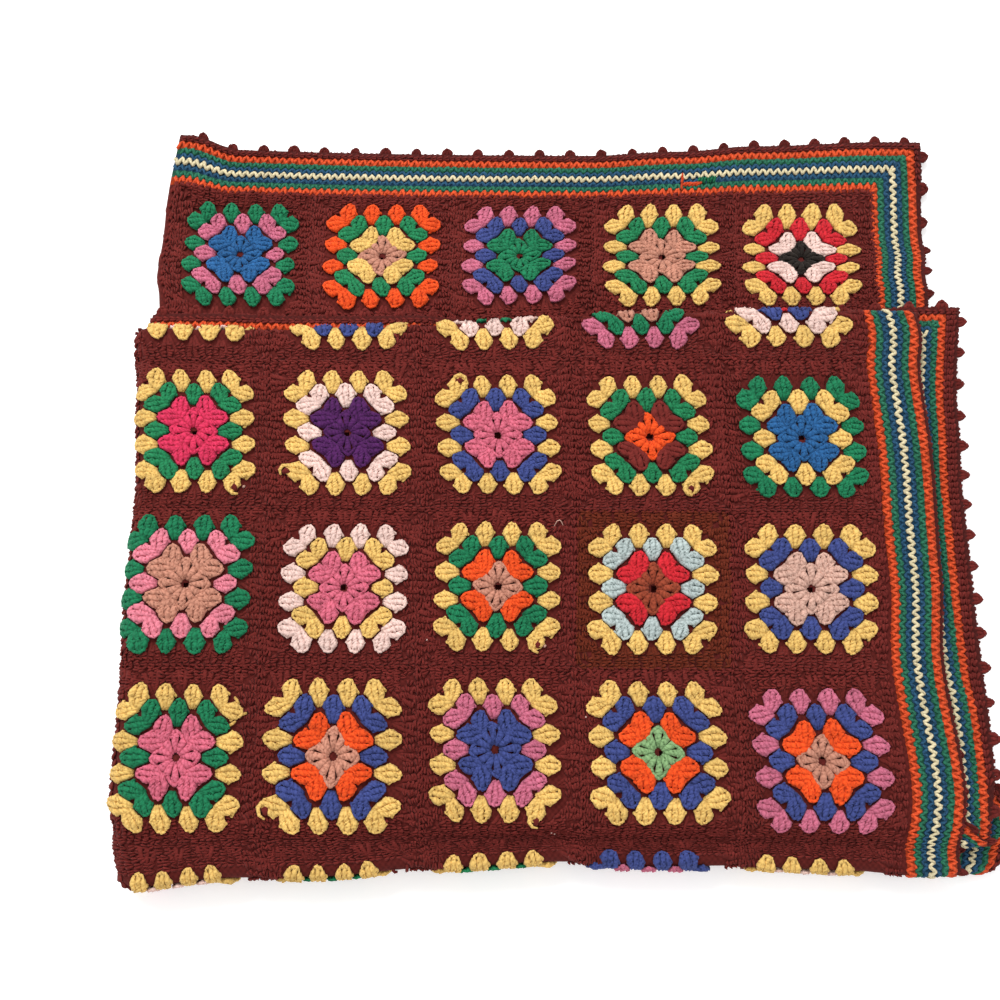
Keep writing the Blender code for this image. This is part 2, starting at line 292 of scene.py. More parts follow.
    def place(self, flat: np.ndarray) -> np.ndarray:
        """Folded places of points of the flat cloth.

        Args:
            flat: Points (s, v, w), one a row.

        Returns:
            Points (x, y, z), one a row.
        """
        s, w = flat[:, 0].astype(float), flat[:, 2].astype(float)
        v = self.drawn(s, flat[:, 1].astype(float))
        s = s + self.spine_shift.at(v) * (1 - np.abs(s) / self.half_width)
        side = np.where(s < 0, -1.0, 1.0)
        take = self.spine_take.at(v)
        reach = np.where(s < 0, self.lower_side.at(v), self.upper_side.at(v))
        y, n = self._section_point(v, w)
        radius = self.inner_radius + n
        angle = np.clip(np.abs(s) / take, 0.0, 1.0) * math.pi / 2
        leg = np.maximum(np.abs(s) - take, 0.0) / (self.half_width - take)
        x = self.spine_x - radius * np.cos(angle) + leg * (reach - self.spine_x)
        return self._settle(x, y, self.middle_z + side * radius * np.sin(angle))

    def square_middle(self, column: int, row: int) -> tuple[float, float]:
        """Flat place of a square's middle."""
        return ((column + 0.5 - self.columns / 2) * self.square_width,
                self.border + (row + 0.5) * self.square_length)

    def _lowest(self, axis: int, across: tuple[float, float, int], along: tuple[float, float, int]) -> float:
        """Lowest coordinate of a part of the solid's upper face.

        Args:
            axis: The coordinate, 0 for x and 1 for y.
            across: First place, last place and count of the points across the cloth.
            along: The same along the cloth.

        Returns:
            The coordinate.
        """
        half = self.solid_thickness / 2
        grid = np.array([(s, v, half) for s in np.linspace(*across) for v in np.linspace(*along)])
        return float(self.place(grid)[:, axis].min())

    def fit_to(self, low: Sequence[float]) -> None:
        """Moves the folded cloth so that its lowest corner matches the solid's.

        Args:
            low: Lowest corner of the solid's box.
        """
        self.shift = (low[0] - self._lowest(0, *self.spine_probe), low[1] - self._lowest(1, *self.near_probe))


# --------------------------------------------------------------------------- yarns and their finishes

def linear(red: int, green: int, blue: int) -> tuple[float, float, float, float]:
    """Linear colour of an 8-bit display colour.

    Args:
        red: Red level, 0 to 255.
        green: Green level.
        blue: Blue level.

    Returns:
        Red, green, blue and alpha, each 0 to 1.
    """
    def one(level: int) -> float:
        """One level in linear light, 0 to 1."""
        share = level / 255
        return share / 12.92 if share <= 0.04045 else ((share + 0.055) / 1.055) ** 2.4
    return one(red), one(green), one(blue), 1.0


@dataclass(frozen=True)
class YarnFinish:
    """Colour and surface of one worsted yarn."""

    slot: str
    colour: tuple[float, float, float, float]
    # Painted shade: how much the ply grooves darken
    groove: float = 0.30
    halo: float = 0.25
    relief: float = 0.55
    mottle: float = 0.5
    # Painted shade: strength of the small dark pits between strands
    pits: float = 0.34
    gloss: float = 0.14
    # Painted shade: strength of the deeper, more saturated tint in crevices and low in the fabric
    crevice_shade_tint: float = 1.0


# The brown yarns are flatter and duller than the coloured ones
DARK_GROUND = {"groove": 0.18, "halo": 0.20, "relief": 0.5, "mottle": 0.8, "pits": 0.10, "gloss": 0.05,
               "crevice_shade_tint": 0.3}


class Yarn(Enum):
    """The yarns of the blanket."""

    GROUND = YarnFinish("ground_yarn", linear(109, 41, 37), **DARK_GROUND)
    OLIVE = YarnFinish("yarn_olive", linear(105, 44, 29), **DARK_GROUND)
    YELLOW = YarnFinish("yarn_yellow", linear(222, 183, 105))
    GREEN = YarnFinish("yarn_green", linear(29, 117, 78))
    DARK_GREEN = YarnFinish("yarn_dark_green", linear(34, 122, 78))
    ROYAL = YarnFinish("yarn_royal_blue", linear(61, 72, 129))
    COBALT = YarnFinish("yarn_cobalt", linear(40, 91, 142))
    ORCHID = YarnFinish("yarn_orchid", linear(191, 103, 127))
    ROSE = YarnFinish("yarn_rose", linear(205, 102, 123))
    PINK = YarnFinish("yarn_pink", linear(216, 125, 141))
    HOT_PINK = YarnFinish("yarn_hot_pink", linear(203, 50, 86))
    ORANGE = YarnFinish("yarn_orange", linear(224, 79, 30))
    RED = YarnFinish("yarn_red", linear(197, 39, 49))
    WHITE = YarnFinish("yarn_white", linear(225, 194, 184), groove=0.22)
    TAN = YarnFinish("yarn_tan", linear(188, 131, 110))
    BEIGE = YarnFinish("yarn_beige", linear(203, 163, 147))
    RUST = YarnFinish("yarn_rust", linear(146, 66, 44))
    PALE_GREEN = YarnFinish("yarn_pale_green", linear(128, 162, 112))
    PALE_BLUE = YarnFinish("yarn_pale_blue", linear(171, 183, 181), groove=0.25)
    BLACK = YarnFinish("yarn_black", linear(36, 30, 26))
    PURPLE = YarnFinish("yarn_purple", linear(77, 31, 86))
    CREAM = YarnFinish("yarn_cream", linear(210, 198, 162), groove=0.25)
    EDGE_BLUE = YarnFinish("border_blue", linear(43, 84, 114))
    EDGE_GREEN = YarnFinish("border_green", linear(46, 114, 88))
    EDGE_ORANGE = YarnFinish("border_orange", linear(214, 82, 42))


@dataclass
class Wiring:
    """Short calls that add and join the nodes of one tree. A term is a plain value or a socket."""

    tree: NodeTree

    def feed(self, socket: NodeSocket, term: object) -> None:
        """Joins a socket to an input, or gives the input a plain value.

        Args:
            socket: The input.
            term: A plain value, or the socket to join.
        """
        if isinstance(term, NodeSocket):
            self.tree.links.new(term, socket)
        else:
            socket.default_value = term

    def node(self, kind: str, inputs: dict[object, object] | None = None,
             **settings: object) -> Node:
        """A new node.

        Args:
            kind: Type of the node.
            inputs: Terms by name or number of the input.
            settings: The node's own settings.

        Returns:
            The node.
        """
        made = self.tree.nodes.new(kind)
        for key, value in settings.items():
            setattr(made, key, value)
        for key, term in (inputs or {}).items():
            self.feed(made.inputs[key], term)
        return made

    def maths(self, operation: str, *terms: object) -> NodeSocket:
        """Value of a Math node with these terms."""
        return self.node("ShaderNodeMath", dict(enumerate(terms)), operation=operation).outputs[0]

    def plus(self, one: object, other: object) -> NodeSocket:
        """Sum of two terms."""
        return self.maths("ADD", one, other)

    def times(self, one: object, other: object) -> NodeSocket:
        """Product of two terms."""
        return self.maths("MULTIPLY", one, other)

    def line(self, term: object, factor: object, added: object) -> NodeSocket:
        """A term times a factor, and a third term added."""
        return self.maths("MULTIPLY_ADD", term, factor, added)

    def clamped(self, term: object) -> NodeSocket:
        """Value kept between 0 and 1."""
        return self.node("ShaderNodeClamp", {0: term}).outputs[0]

    def scaled(self, vector: object, scale: object) -> NodeSocket:
        """Vector or colour times a value."""
        return self.node("ShaderNodeVectorMath", {0: vector, "Scale": scale}, operation="SCALE").outputs[0]

    def place(self) -> NodeSocket:
        """Place on the object, in metres."""
        return self.node("ShaderNodeTexCoord").outputs["Object"]

    def noise(self, scale: object, detail: float, roughness: float = 0.5) -> NodeSocket:
        """Noise over the object, between 0 and 1."""
        return self.node("ShaderNodeTexNoise", {"Vector": self.place(), "Scale": scale, "Detail": detail,
                                                "Roughness": roughness}).outputs[0]

    def mapped(self, name: str) -> tuple[NodeSocket, NodeSocket]:
        """The two values of a map on the mesh."""
        parts = self.node("ShaderNodeSeparateXYZ", {0: self.node("ShaderNodeUVMap", uv_map=name).outputs[0]})
        return parts.outputs[0], parts.outputs[1]


def new_group(name: str, kind: str, inputs: dict[str, str],
              outputs: dict[str, str]) -> tuple[Wiring, NodeOutputs, NodeInputs]:
    """A node group with the given sockets.

    Args:
        name: Name of the group.
        kind: ShaderNodeTree or GeometryNodeTree.
        inputs: Type of each input by name, such as Float.
        outputs: The same for each output.

    Returns:
        Its wiring, what it is given and what it gives.
    """
    group = bpy.data.node_groups.new(name, kind)
    for way, sockets in (("INPUT", inputs), ("OUTPUT", outputs)):
        for label, socket_type in sockets.items():
            group.interface.new_socket(name=label, in_out=way, socket_type="NodeSocket" + socket_type)
    start, end = group.nodes.new("NodeGroupInput"), group.nodes.new("NodeGroupOutput")
    return Wiring(group), start.outputs, end.inputs


class YarnShop:
    """Makes the yarn materials, which share two shader groups.

    The scales of the noises are cells to the metre. A line is a factor and what is added after it.
    """

    STRAND_MAP = "strand"
    CLOTH_MAP = "cloth"
    STRIPE_MAP = "stripes"
    PLIES = 2.0
    PLY_SOFTNESS = 0.6
    PLY_RELIEF = 0.45
    FIBRE_RELIEF = 0.9
    FIBRE_IN_GROOVE = (1.2, 0.1)
    LUMPS = 260.0
    LUMP_TWIST = 1.6
    FIBRES = 1100.0
    CLOTH_FIBRES = 900.0
    DRIFT = 14.0
    PATCHES = 170.0
    CELLS = 400.0
    # Painted shade: the pits' darkness from the cells' distance, the darkening by loft, and where the deeper
    # crevice tint begins
    PIT_LINE = (-2.9, 1.25)
    DEPTH_LINE = (0.36, 0.66)
    DRIFT_SHARE = 0.20
    INSIDE_FROM = 0.98
    SHADE_SPREAD = 0.07
    ROUGHNESS = 0.88
    SHEEN_ROUGHNESS = 0.45
    BUMP_DISTANCE = 0.0006
    CLOTH_ROW = 0.0052
    CLOTH_COLUMN = 0.0043
    # Painted shade: the sheet shows only in the gaps between stitches, so its colours are darkened, and
    # darker still in the weave's hollows
    CLOTH_SHADE = 0.7
    CLOTH_LIGHT_LINE = (0.45, 0.20)
    BAND_EDGE = 0.05
    DARKEST_TINT = 0.05

    def __init__(self) -> None:
        """Builds the shared groups."""
        self.plies = self._plies_group()
        self.tone = self._tone_group()
        self._made: dict[str, Material] = {}

    def _plies_group(self) -> NodeTree:
        """Twisted plies and loose fibres of a strand: their height, and a mask of the grooves between plies
        that the tone darkens as painted shade.

        Returns:
            The group.
        """
        wire, given, result = new_group("twisted_plies", "ShaderNodeTree", {
            "Plies": "Float", "Fibre Scale": "Float"}, {"Height": "Float", "Groove": "Float"})
        around, along = wire.mapped(self.STRAND_MAP)
        turn = wire.plus(wire.times(around, given["Plies"]),
                         wire.line(wire.noise(self.LUMPS, 1.0), self.LUMP_TWIST, along))
        wave = wire.maths("SINE", wire.times(turn, 2 * math.pi))
        ply = wire.maths("POWER", wire.maths("ABSOLUTE", wire.line(wave, 0.5, 0.5)), self.PLY_SOFTNESS)
        fibres = wire.noise(given["Fibre Scale"], 3.0, 0.7)
        wire.feed(result["Height"],
                  wire.plus(wire.times(ply, self.PLY_RELIEF), wire.times(fibres, self.FIBRE_RELIEF)))
        wire.feed(result["Groove"],
                  wire.times(wire.maths("SUBTRACT", 1.0, ply), wire.line(fibres, *self.FIBRE_IN_GROOVE)))
        return wire.tree

    def _tone_group(self) -> NodeTree:
        """Colour of a yarn with painted shade in its ply grooves, in small pits and low in the fabric, and
        with stitch to stitch changes of tone.

        Returns:
            The group.
        """
        wire, given, result = new_group("yarn_tone", "ShaderNodeTree", {
            "Colour": "Color", "Groove": "Float", "Groove Shade": "Float", "Spread": "Float",
            "Mottle": "Float", "Pits": "Float", "Crevice Shade Tint": "Float"}, {"Colour": "Color"})
        loft, shade = (wire.node("ShaderNodeAttribute", attribute_name=name).outputs["Fac"]
                       for name in ("loft", "shade"))
        drift = wire.maths("SUBTRACT", wire.noise(self.DRIFT, 2.0), 0.5)
        patches = wire.maths("SUBTRACT", wire.noise(self.PATCHES, 2.0), 0.5)
        mottle = wire.times(patches, given["Mottle"])
        # Painted shade: small dark pits on a grid of cells stand for the gaps between strands, and add to the
        # darkened ply grooves
        cells = wire.node("ShaderNodeTexVoronoi", {"Vector": wire.place(), "Scale": self.CELLS})
        pits = wire.clamped(wire.line(cells.outputs["Distance"], *self.PIT_LINE))
        groove = wire.plus(wire.times(given["Groove"], given["Groove Shade"]),
                           wire.times(pits, given["Pits"]))
        # Painted shade: darker lower down in the fabric, by the stitches' loft
        depth_shade = wire.line(wire.clamped(loft), *self.DEPTH_LINE)
        spread = wire.times(shade, given["Spread"])
        uneven = wire.plus(wire.plus(spread, mottle), 1.0)
        change = wire.line(drift, self.DRIFT_SHARE, uneven)
        lit = wire.times(wire.maths("SUBTRACT", 1.0, groove), depth_shade)
        gain = wire.times(lit, change)
        # Painted shade: in grooves and low in the fabric the colour turns towards its own square, deeper and
        # more saturated, as light bounced between strands would make it
        squared = wire.node("ShaderNodeVectorMath", {0: given["Colour"], 1: given["Colour"]},
                            operation="MULTIPLY")
        inside = wire.clamped(wire.line(depth_shade, -1.0, wire.plus(groove, self.INSIDE_FROM)))
        crevice_shade_tint = wire.times(inside, given["Crevice Shade Tint"])
        toned = wire.node("ShaderNodeMix", {0: crevice_shade_tint, 6: given["Colour"], 7: squared.outputs[0]},
                          data_type="RGBA")
        wire.feed(result["Colour"], wire.scaled(toned.outputs[2], gain))
        return wire.tree

    def _material(self, name: str) -> tuple[Material, Wiring]:
        """A new material.

        Args:
            name: Name of the material.

        Returns:
            The material and its wiring.
        """
        material = bpy.data.materials.new(name)
        material.use_nodes = True
        return material, Wiring(material.node_tree)

    def _dress(self, wire: Wiring, colour: NodeSocket, finish: YarnFinish,
               height: NodeSocket) -> None:
        """Joins colour and relief to a matt, slightly downy surface.

        Args:
            wire: Wiring of the material.
            colour: The surface's colour.
            finish: The yarn's finish.
            height: Height of the relief.
        """
        bump = wire.node("ShaderNodeBump", {"Strength": finish.relief, "Distance": self.BUMP_DISTANCE,
                                            "Height": height})
        tint = (self.DARKEST_TINT + (1 - self.DARKEST_TINT) * math.sqrt(level) for level in finish.colour[:3])
        surface = wire.tree.nodes["Principled BSDF"].inputs
        for name, term in (("Base Color", colour), ("Roughness", self.ROUGHNESS),
                           ("Specular IOR Level", finish.gloss), ("Sheen Weight", finish.halo),
                           ("Sheen Roughness", self.SHEEN_ROUGHNESS), ("Sheen Tint", (*tint, 1.0)),
                           ("Normal", bump.outputs[0])):
            wire.feed(surface[name], term)

    def yarn(self, yarn: Yarn) -> Material:
        """Material of stitches in one yarn, made once.

        Args:
            yarn: The yarn.

        Returns:
            The material.
        """
        finish = yarn.value
        if finish.slot not in self._made:
            material, wire = self._material(finish.slot)
            plies = wire.node("ShaderNodeGroup", {"Plies": self.PLIES, "Fibre Scale": self.FIBRES},
                              node_tree=self.plies).outputs
            tone = wire.node("ShaderNodeGroup", {
                "Colour": finish.colour, "Groove": plies["Groove"], "Groove Shade": finish.groove,
                "Spread": self.SHADE_SPREAD, "Mottle": finish.mottle, "Pits": finish.pits,
                "Crevice Shade Tint": finish.crevice_shade_tint}, node_tree=self.tone)
            self._dress(wire, tone.outputs["Colour"], finish, plies["Height"])
            self._made[finish.slot] = material
        return self._made[finish.slot]

    def cloth(self, stripes: Sequence[tuple[Yarn, float]]) -> Material:
        """Ground fabric with the border's stripes, darkened all over as painted shade for the gaps between
        stitches where it shows, and darker in the weave's hollows.

        Args:
            stripes: Yarn and width of each border stripe, from the squares outwards.

        Returns:
            The material, which reads the cloth's own flat map.
        """
        finish = Yarn.GROUND.value
        material, wire = self._material("ground_fabric")
        across, along = wire.mapped(self.CLOTH_MAP)
        side_band, end_band = wire.mapped(self.STRIPE_MAP)
        width_share = 1 - 2 * self.BAND_EDGE
        nearest = wire.maths("MAXIMUM", side_band, end_band)
        share = wire.line(nearest, width_share, self.BAND_EDGE)
        ramp = wire.node("ShaderNodeValToRGB", {0: share})
        ramp.color_ramp.interpolation = "CONSTANT"
        points = ramp.color_ramp.elements
        points[0].color = finish.colour
        total = sum(width for _yarn, width in stripes)
        passed = 0.0
        for index, (yarn, width) in enumerate((*stripes, (Yarn.GROUND, 0.0))):
            where = self.BAND_EDGE + width_share * passed / total
            point = points[1] if index == 0 else points.new(where)
            point.position = where
            shown = Yarn.EDGE_BLUE if yarn is Yarn.CREAM else yarn
            # Painted shade: each stripe's colour darkened where it shows between stitches
            point.color = (*(self.CLOTH_SHADE * level for level in shown.value.colour[:3]), 1.0)
            passed += width
        rows = wire.maths("SINE", wire.times(along, 2 * math.pi / self.CLOTH_ROW))
        columns = wire.maths("SINE", wire.times(across, 2 * math.pi / self.CLOTH_COLUMN))
        weave = wire.line(wire.times(rows, columns), 0.25, 0.5)
        height = wire.plus(weave, wire.times(wire.noise(self.CLOTH_FIBRES, 3.0), 0.5))
        # Painted shade: darker all over, most in the weave's hollows
        colour = wire.scaled(ramp.outputs[0], wire.line(height, *self.CLOTH_LIGHT_LINE))
        self._dress(wire, colour, finish, height)
        return material


# --------------------------------------------------------------------------- stitches

@dataclass
class Strand:
    """A short length of yarn: its path, and its radii across and through the fabric."""

    path: Sequence[Sequence[float]]
    radii: Sequence[float]
    sides: int = 6
    flat: float = 1.0
    phase: float = 0.0


class StitchMaker:
    """Makes the small meshes that are set all over the blanket, in millimetres on the flat cloth.

    In each stitch x runs along the edge, y away from the square's middle, and z out of the cloth.
    """

    SEED = 7
    WRAP = 3.0
    TIP = 0.6
    TIP_ON_MAP = 0.2
    STRIPE_PITCH = 6.1
    STRIPE_WIDTH = 5.0
    LOFT_LOW = -0.8
    LOFT_HIGH = 3.1

    def __init__(self) -> None:
        """Makes each stitch in a few uneven copies, in one collection that isn't part of the scene."""
        self.held = bpy.data.collections.new("stitches")
        self.copies: dict[str, int] = {}
        chance = random.Random(self.SEED)
        for kind, make, count, wobble in (
                ("cluster", self.cluster, 6, 0.45), ("cream", lambda: self.zigzag(1.4, 1.25, 2.1), 4, 0.35),
                ("curl", self.curl, 1, 0.0), ("edge", self.edge, 3, 0.35), ("fan", self.fan, 3, 0.5),
                ("flower", self.flower, 3, 0.4), ("hook", self.hook, 2, 0.3), ("loop", self.loop, 5, 0.45),
                ("nub", self.nub, 2, 0.2), ("picot", self.picot, 3, 0.4),
                ("plain", self.plain_cluster, 1, 0.0), ("seam", self.seam, 3, 0.35),
                ("stroke", self.stroke, 3, 0.2),
                ("teeth", lambda: self.zigzag(1.65, 0.95, 1.3), 4, 0.3),
                ("vee", lambda: self.zigzag(1.35, 1.3, 1.1), 4, 0.3)):
            self.copies[kind] = count
            for number in range(count):
                strands = make()
                for strand in strands:
                    strand.path = [tuple(c + chance.uniform(-wobble, wobble) * (0.5 if axis == 2 else 1.0)
                                         for axis, c in enumerate(point)) for point in strand.path]
                    strand.phase += chance.random()
                self.held.objects.link(self.build(f"{kind}_{number}", strands))

    def pick(self, kind: str) -> tuple[int, int]:
        """Place of a kind's first copy among all copies in the order of names, and its count."""
        return sum(self.copies[name] for name in self.copies if name < kind), self.copies[kind]

    def build(self, name: str, strands: Iterable[Strand]) -> Object:
        """One stitch of several strands.

        Args:
            name: Name of the object.
            strands: The strands, in millimetres.

        Returns:
            An object with the strands' own map and their loft over the cloth.
        """
        mesh = bpy.data.meshes.new(name)
        verts: list[Vector] = []
        faces: list[tuple[int, ...]] = []
        maps: list[tuple[float, float]] = []
        for strand in strands:
            self._add(strand, verts, faces, maps)
        mesh.from_pydata([v * MM for v in verts], [], faces)
        uv = mesh.uv_layers.new(name=YarnShop.STRAND_MAP)
        uv.data.foreach_set("uv", [c for pair in maps for c in pair])
        # Height over the cloth, which the yarn tone turns into painted shade, darker low down
        loft = mesh.attributes.new("loft", "FLOAT", "POINT")
        span = self.LOFT_HIGH - self.LOFT_LOW
        loft.data.foreach_set("value", [(v.z - self.LOFT_LOW) / span for v in verts])
        mesh.shade_smooth()
        return bpy.data.objects.new(name, mesh)

    def _add(self, strand: Strand, verts: list[Vector], faces: list[tuple[int, ...]],
             maps: list[tuple[float, float]]) -> None:
        """Adds one closed tube with pointed ends.

        Args:
            strand: The strand.
            verts: Corners of the mesh so far.
            faces: Faces of the mesh so far.
            maps: Places of the faces' corners on the strand's own map so far.
        """
        path = [Vector(p) for p in strand.path]
        sides = strand.sides
        first = len(verts)
        run = 0.0
        runs = []
        for index, point in enumerate(path):
            if index:
                run += (point - path[index - 1]).length
            runs.append(run / self.WRAP)
            ahead = path[min(index + 1, len(path) - 1)] - path[max(index - 1, 0)]
            ahead.normalize()
            across = ahead.cross(Vector((0, 0, 1))).normalized()
            out = across.cross(ahead)
            for side in range(sides):
                angle = 2 * math.pi * (side + 0.5) / sides
                verts.append(point + (across * math.cos(angle) + out * math.sin(angle) * strand.flat)
                             * strand.radii[index])
        tip_a = path[0] - (path[1] - path[0]).normalized() * strand.radii[0] * self.TIP
        tip_b = path[-1] + (path[-1] - path[-2]).normalized() * strand.radii[-1] * self.TIP
        verts.extend((tip_a, tip_b))
        last = first + sides * (len(path) - 1)
        for ring in range(len(path) - 1):
            for side in range(sides):
                a = first + ring * sides + side
                b = first + ring * sides + (side + 1) % sides
                faces.append((a, a + sides, b + sides, b))
                u0, u1 = side / sides + strand.phase, (side + 1) / sides + strand.phase
                maps.extend(((u0, runs[ring]), (u0, runs[ring + 1]), (u1, runs[ring + 1]), (u1, runs[ring])))
        for side in range(sides):
            u0, u1 = side / sides + strand.phase, (side + 1) / sides + strand.phase
            after = (side + 1) % sides
            faces.append((first + side, first + after, len(verts) - 2))
            maps.extend(((u0, runs[0]), (u1, runs[0]), ((u0 + u1) / 2, runs[0] - self.TIP_ON_MAP)))
            faces.append((last + after, last + side, len(verts) - 1))
            maps.extend(((u1, runs[-1]), (u0, runs[-1]), ((u0 + u1) / 2, runs[-1] + self.TIP_ON_MAP)))

    def cluster(self) -> list[Strand]:
        """Three double crochets worked into one space and drawn together at the top.

        Returns:
            The strands.
        """
        strands = []
        for x, lean, top in ((-4.6, -1.0, 3.7), (0.0, 0.0, 5.6), (4.6, 1.0, 3.7)):
            foot = ((0.32 * x, -8.7, 0.8), (0.68 * x + 0.3, -4.9, 2.0), (0.99 * x + 0.5, -0.8, 2.4))
            head = ((1.02 * x - 0.5, -1.6, 2.4), (1.02 * x - 0.2, 1.4, 2.6), (0.80 * x + 0.2, top, 2.4))
            wrap = ((0.9 * x - 1.9, -2.4 - lean, 3.6), (x + 1.9, 0.2 - lean, 3.9))
            strands += [Strand(foot, (1.6, 2.4, 2.5), sides=5, flat=0.85),
                        Strand(head, (2.4, 2.8, 2.4), sides=5, flat=0.85),
                        Strand(wrap, (0.75, 0.95), sides=4)]
        rim = ((-7.5, -0.9, 1.7), (-5.8, 2.4, 2.4), (-2.9, 5.4, 2.9), (0.0, 7.5, 3.1), (2.9, 5.4, 2.9),
               (5.8, 2.4, 2.4), (7.5, -0.9, 1.7))
        for index in range(6):
            a, b = Vector(rim[index]), Vector(rim[index + 1])
            away = Vector((b.y - a.y, a.x - b.x, 0.0)).normalized() * (0.55 if index % 2 else -0.55)
            strands.append(Strand((a.lerp(b, 0.06) + away, a.lerp(b, 0.94) - away), (1.15, 1.35), sides=4))
        return strands

    def flower(self) -> list[Strand]:
        """The first round: twelve double crochets out of the ring, in four groups of three.

        Returns:
            The strands.
        """
        strands = []
        up = Vector((0.0, 0.0, 1.0))
        for post in range(12):
            turn = math.radians(30 * post)
            lobe = post % 3 == 0
            reach = 15.4 if lobe else 12.2
            ray = Vector((math.cos(turn), math.sin(turn), 0.0))
            path = [ray * r + up * z for r, z in ((3.4, 0.9), (0.6 * reach, 2.3 if lobe else 2.0),
                                                  (reach, 1.9 if lobe else 1.3))]
            strands.append(Strand(path, (1.2, 2.4, 3.1), flat=0.85))
        for lobe in range(4):
            turn = math.radians(90 * lobe)
            ray = Vector((math.cos(turn), math.sin(turn), 0.0))
            side = Vector((-ray.y, ray.x, 0.0))
            rim = ((-6.6, 9.8, 1.2), (-4.4, 14.4, 1.9), (0.0, 17.8, 2.4), (4.4, 14.4, 1.9), (6.6, 9.8, 1.2))
            points = [side * x + ray * y + up * z for x, y, z in rim]
            strands += [Strand(pair, (1.6, 1.7), sides=5) for pair in zip(points, points[1:])]
            strands.append(Strand((side * -2.4 + ray * 13.6 + up * 3.2, side * 2.4 + ray * 13.0 + up * 3.2),
                                  (1.2, 1.2), sides=4))
        return strands

    def plain_cluster(self) -> list[Strand]:
        """The same cluster with few faces, for the side that it lies on."""
        return [Strand(((0.0, -7.6, 0.2), (0.0, 0.6, 1.0), (0.0, 6.8, 0.4)), (3.0, 6.8, 3.4), flat=0.35)]

    def fan(self) -> list[Strand]:
        """The soft brown posts of the fourth round, between the coloured clusters."""
        return [Strand(((post * 1.4, -8.0, 0.4), (post * 5.2, 6.6, 1.1)), (1.6, 2.1), sides=4, flat=0.8)
                for post in (-1, 0, 1)]

    def loop(self) -> list[Strand]:
        """One small V of a brown row."""
        return [Strand(((-0.2, -2.2, 0.9), (-1.5, 1.8, 2.2)), (0.95, 1.35), sides=3),
                Strand(((0.5, -2.1, 0.9), (1.5, 1.9, 2.1)), (0.95, 1.35), sides=3)]

    def zigzag(self, inner: float, outer: float, lift: float) -> list[Strand]:
        """One stitch of a stripe 5 mm wide: a stroke out to the tooth's point and one back.

        Args:
            inner: Radius of the strokes where neighbours meet, in millimetres.
            outer: Their radius at the point.
            lift: Height of the strokes' middles over the cloth's middle.

        Returns:
            The two strokes.
        """
        pitch, width = self.STRIPE_PITCH, self.STRIPE_WIDTH
        path = ((0.50 * pitch, -0.44 * width, lift - 0.3), (0.26 * pitch, 0.02 * width, lift + 0.3),
                (0.03 * pitch, 0.48 * width, lift))
        return [Strand([(side * x, y, z) for x, y, z in path], (inner, 0.5 * (inner + outer), outer), sides=5)
                for side in (-1, 1)]

    def seam(self) -> list[Strand]:
        """One stitch of the seam that joins two squares."""
        return [Strand(((-1.9, side * 1.4, 0.8), (1.6, side * 0.4, 1.7)), (1.0, 1.2), sides=3)
                for side in (-1, 1)]

    def edge(self) -> list[Strand]:
        """One stitch of the brown edge round."""
        return [Strand(((side * 0.4, -1.6, 0.1), (side * 2.1, 1.3, 0.2)), (1.2, 1.35), sides=4)
                for side in (-1, 1)]

    def picot(self) -> list[Strand]:
        """One rounded tooth of the edging.

        Returns:
            The strands.
        """
        sides = [Strand(((side * 3.1, -1.4, 0), (side * 2.8, 1.6, 0.1), (side * 1.8, 4.0, 0)),
                        (1.4, 1.9, 1.8)) for side in (-1, 1)]
        tip = Strand(((-1.9, 4.6, 0.3), (0.1, 5.1, 0.5), (2.0, 4.5, 0.2)), (1.3, 1.6, 1.3))
        stem = Strand(((0.1, -0.6, 0.2), (0, 1.8, 0.4), (-0.1, 3.8, 0.2)), (1.2, 1.8, 1.3), sides=5)
        return [*sides, tip, stem]

    def hook(self) -> list[Strand]:
        """A pulled loop that stands up from a corner cluster."""
        return [Strand(((-5.2, -2.6, 3.6), (-5.6, 1.2, 4.8), (-2.4, 5.0, 5.2), (2.2, 5.2, 5.0),
                        (5.6, 1.0, 4.2), (5.8, -3.2, 3.0)), (1.0, 1.5, 1.7, 1.7, 1.5, 1.0), sides=5)]

    def nub(self) -> list[Strand]:
        """A small knot."""
        return [Strand(((-0.9, -0.4, 0.0), (0.1, 0.3, 0.5), (1.0, 0.1, 0.1)), (0.9, 1.3, 0.8), sides=5)]

    def stroke(self) -> list[Strand]:
        """A single strand that lies over the fabric."""
        return [Strand(((0.0, -2.6, 0.0), (0.2, 0.0, 0.4), (-0.1, 2.7, 0.0)), (1.1, 1.25, 1.0), sides=5)]

    def curl(self) -> list[Strand]:
        """A thin curling end."""
        return [Strand(((0.0, 0.0, 1.5), (2.0, 4.0, 3.2), (2.9, 5.9, 3.8), (4.8, 6.7, 4.0), (6.3, 5.5, 3.8),
                        (7.4, 3.2, 2.8)), (0.4, 0.45, 0.45, 0.45, 0.45, 0.35), sides=4)]


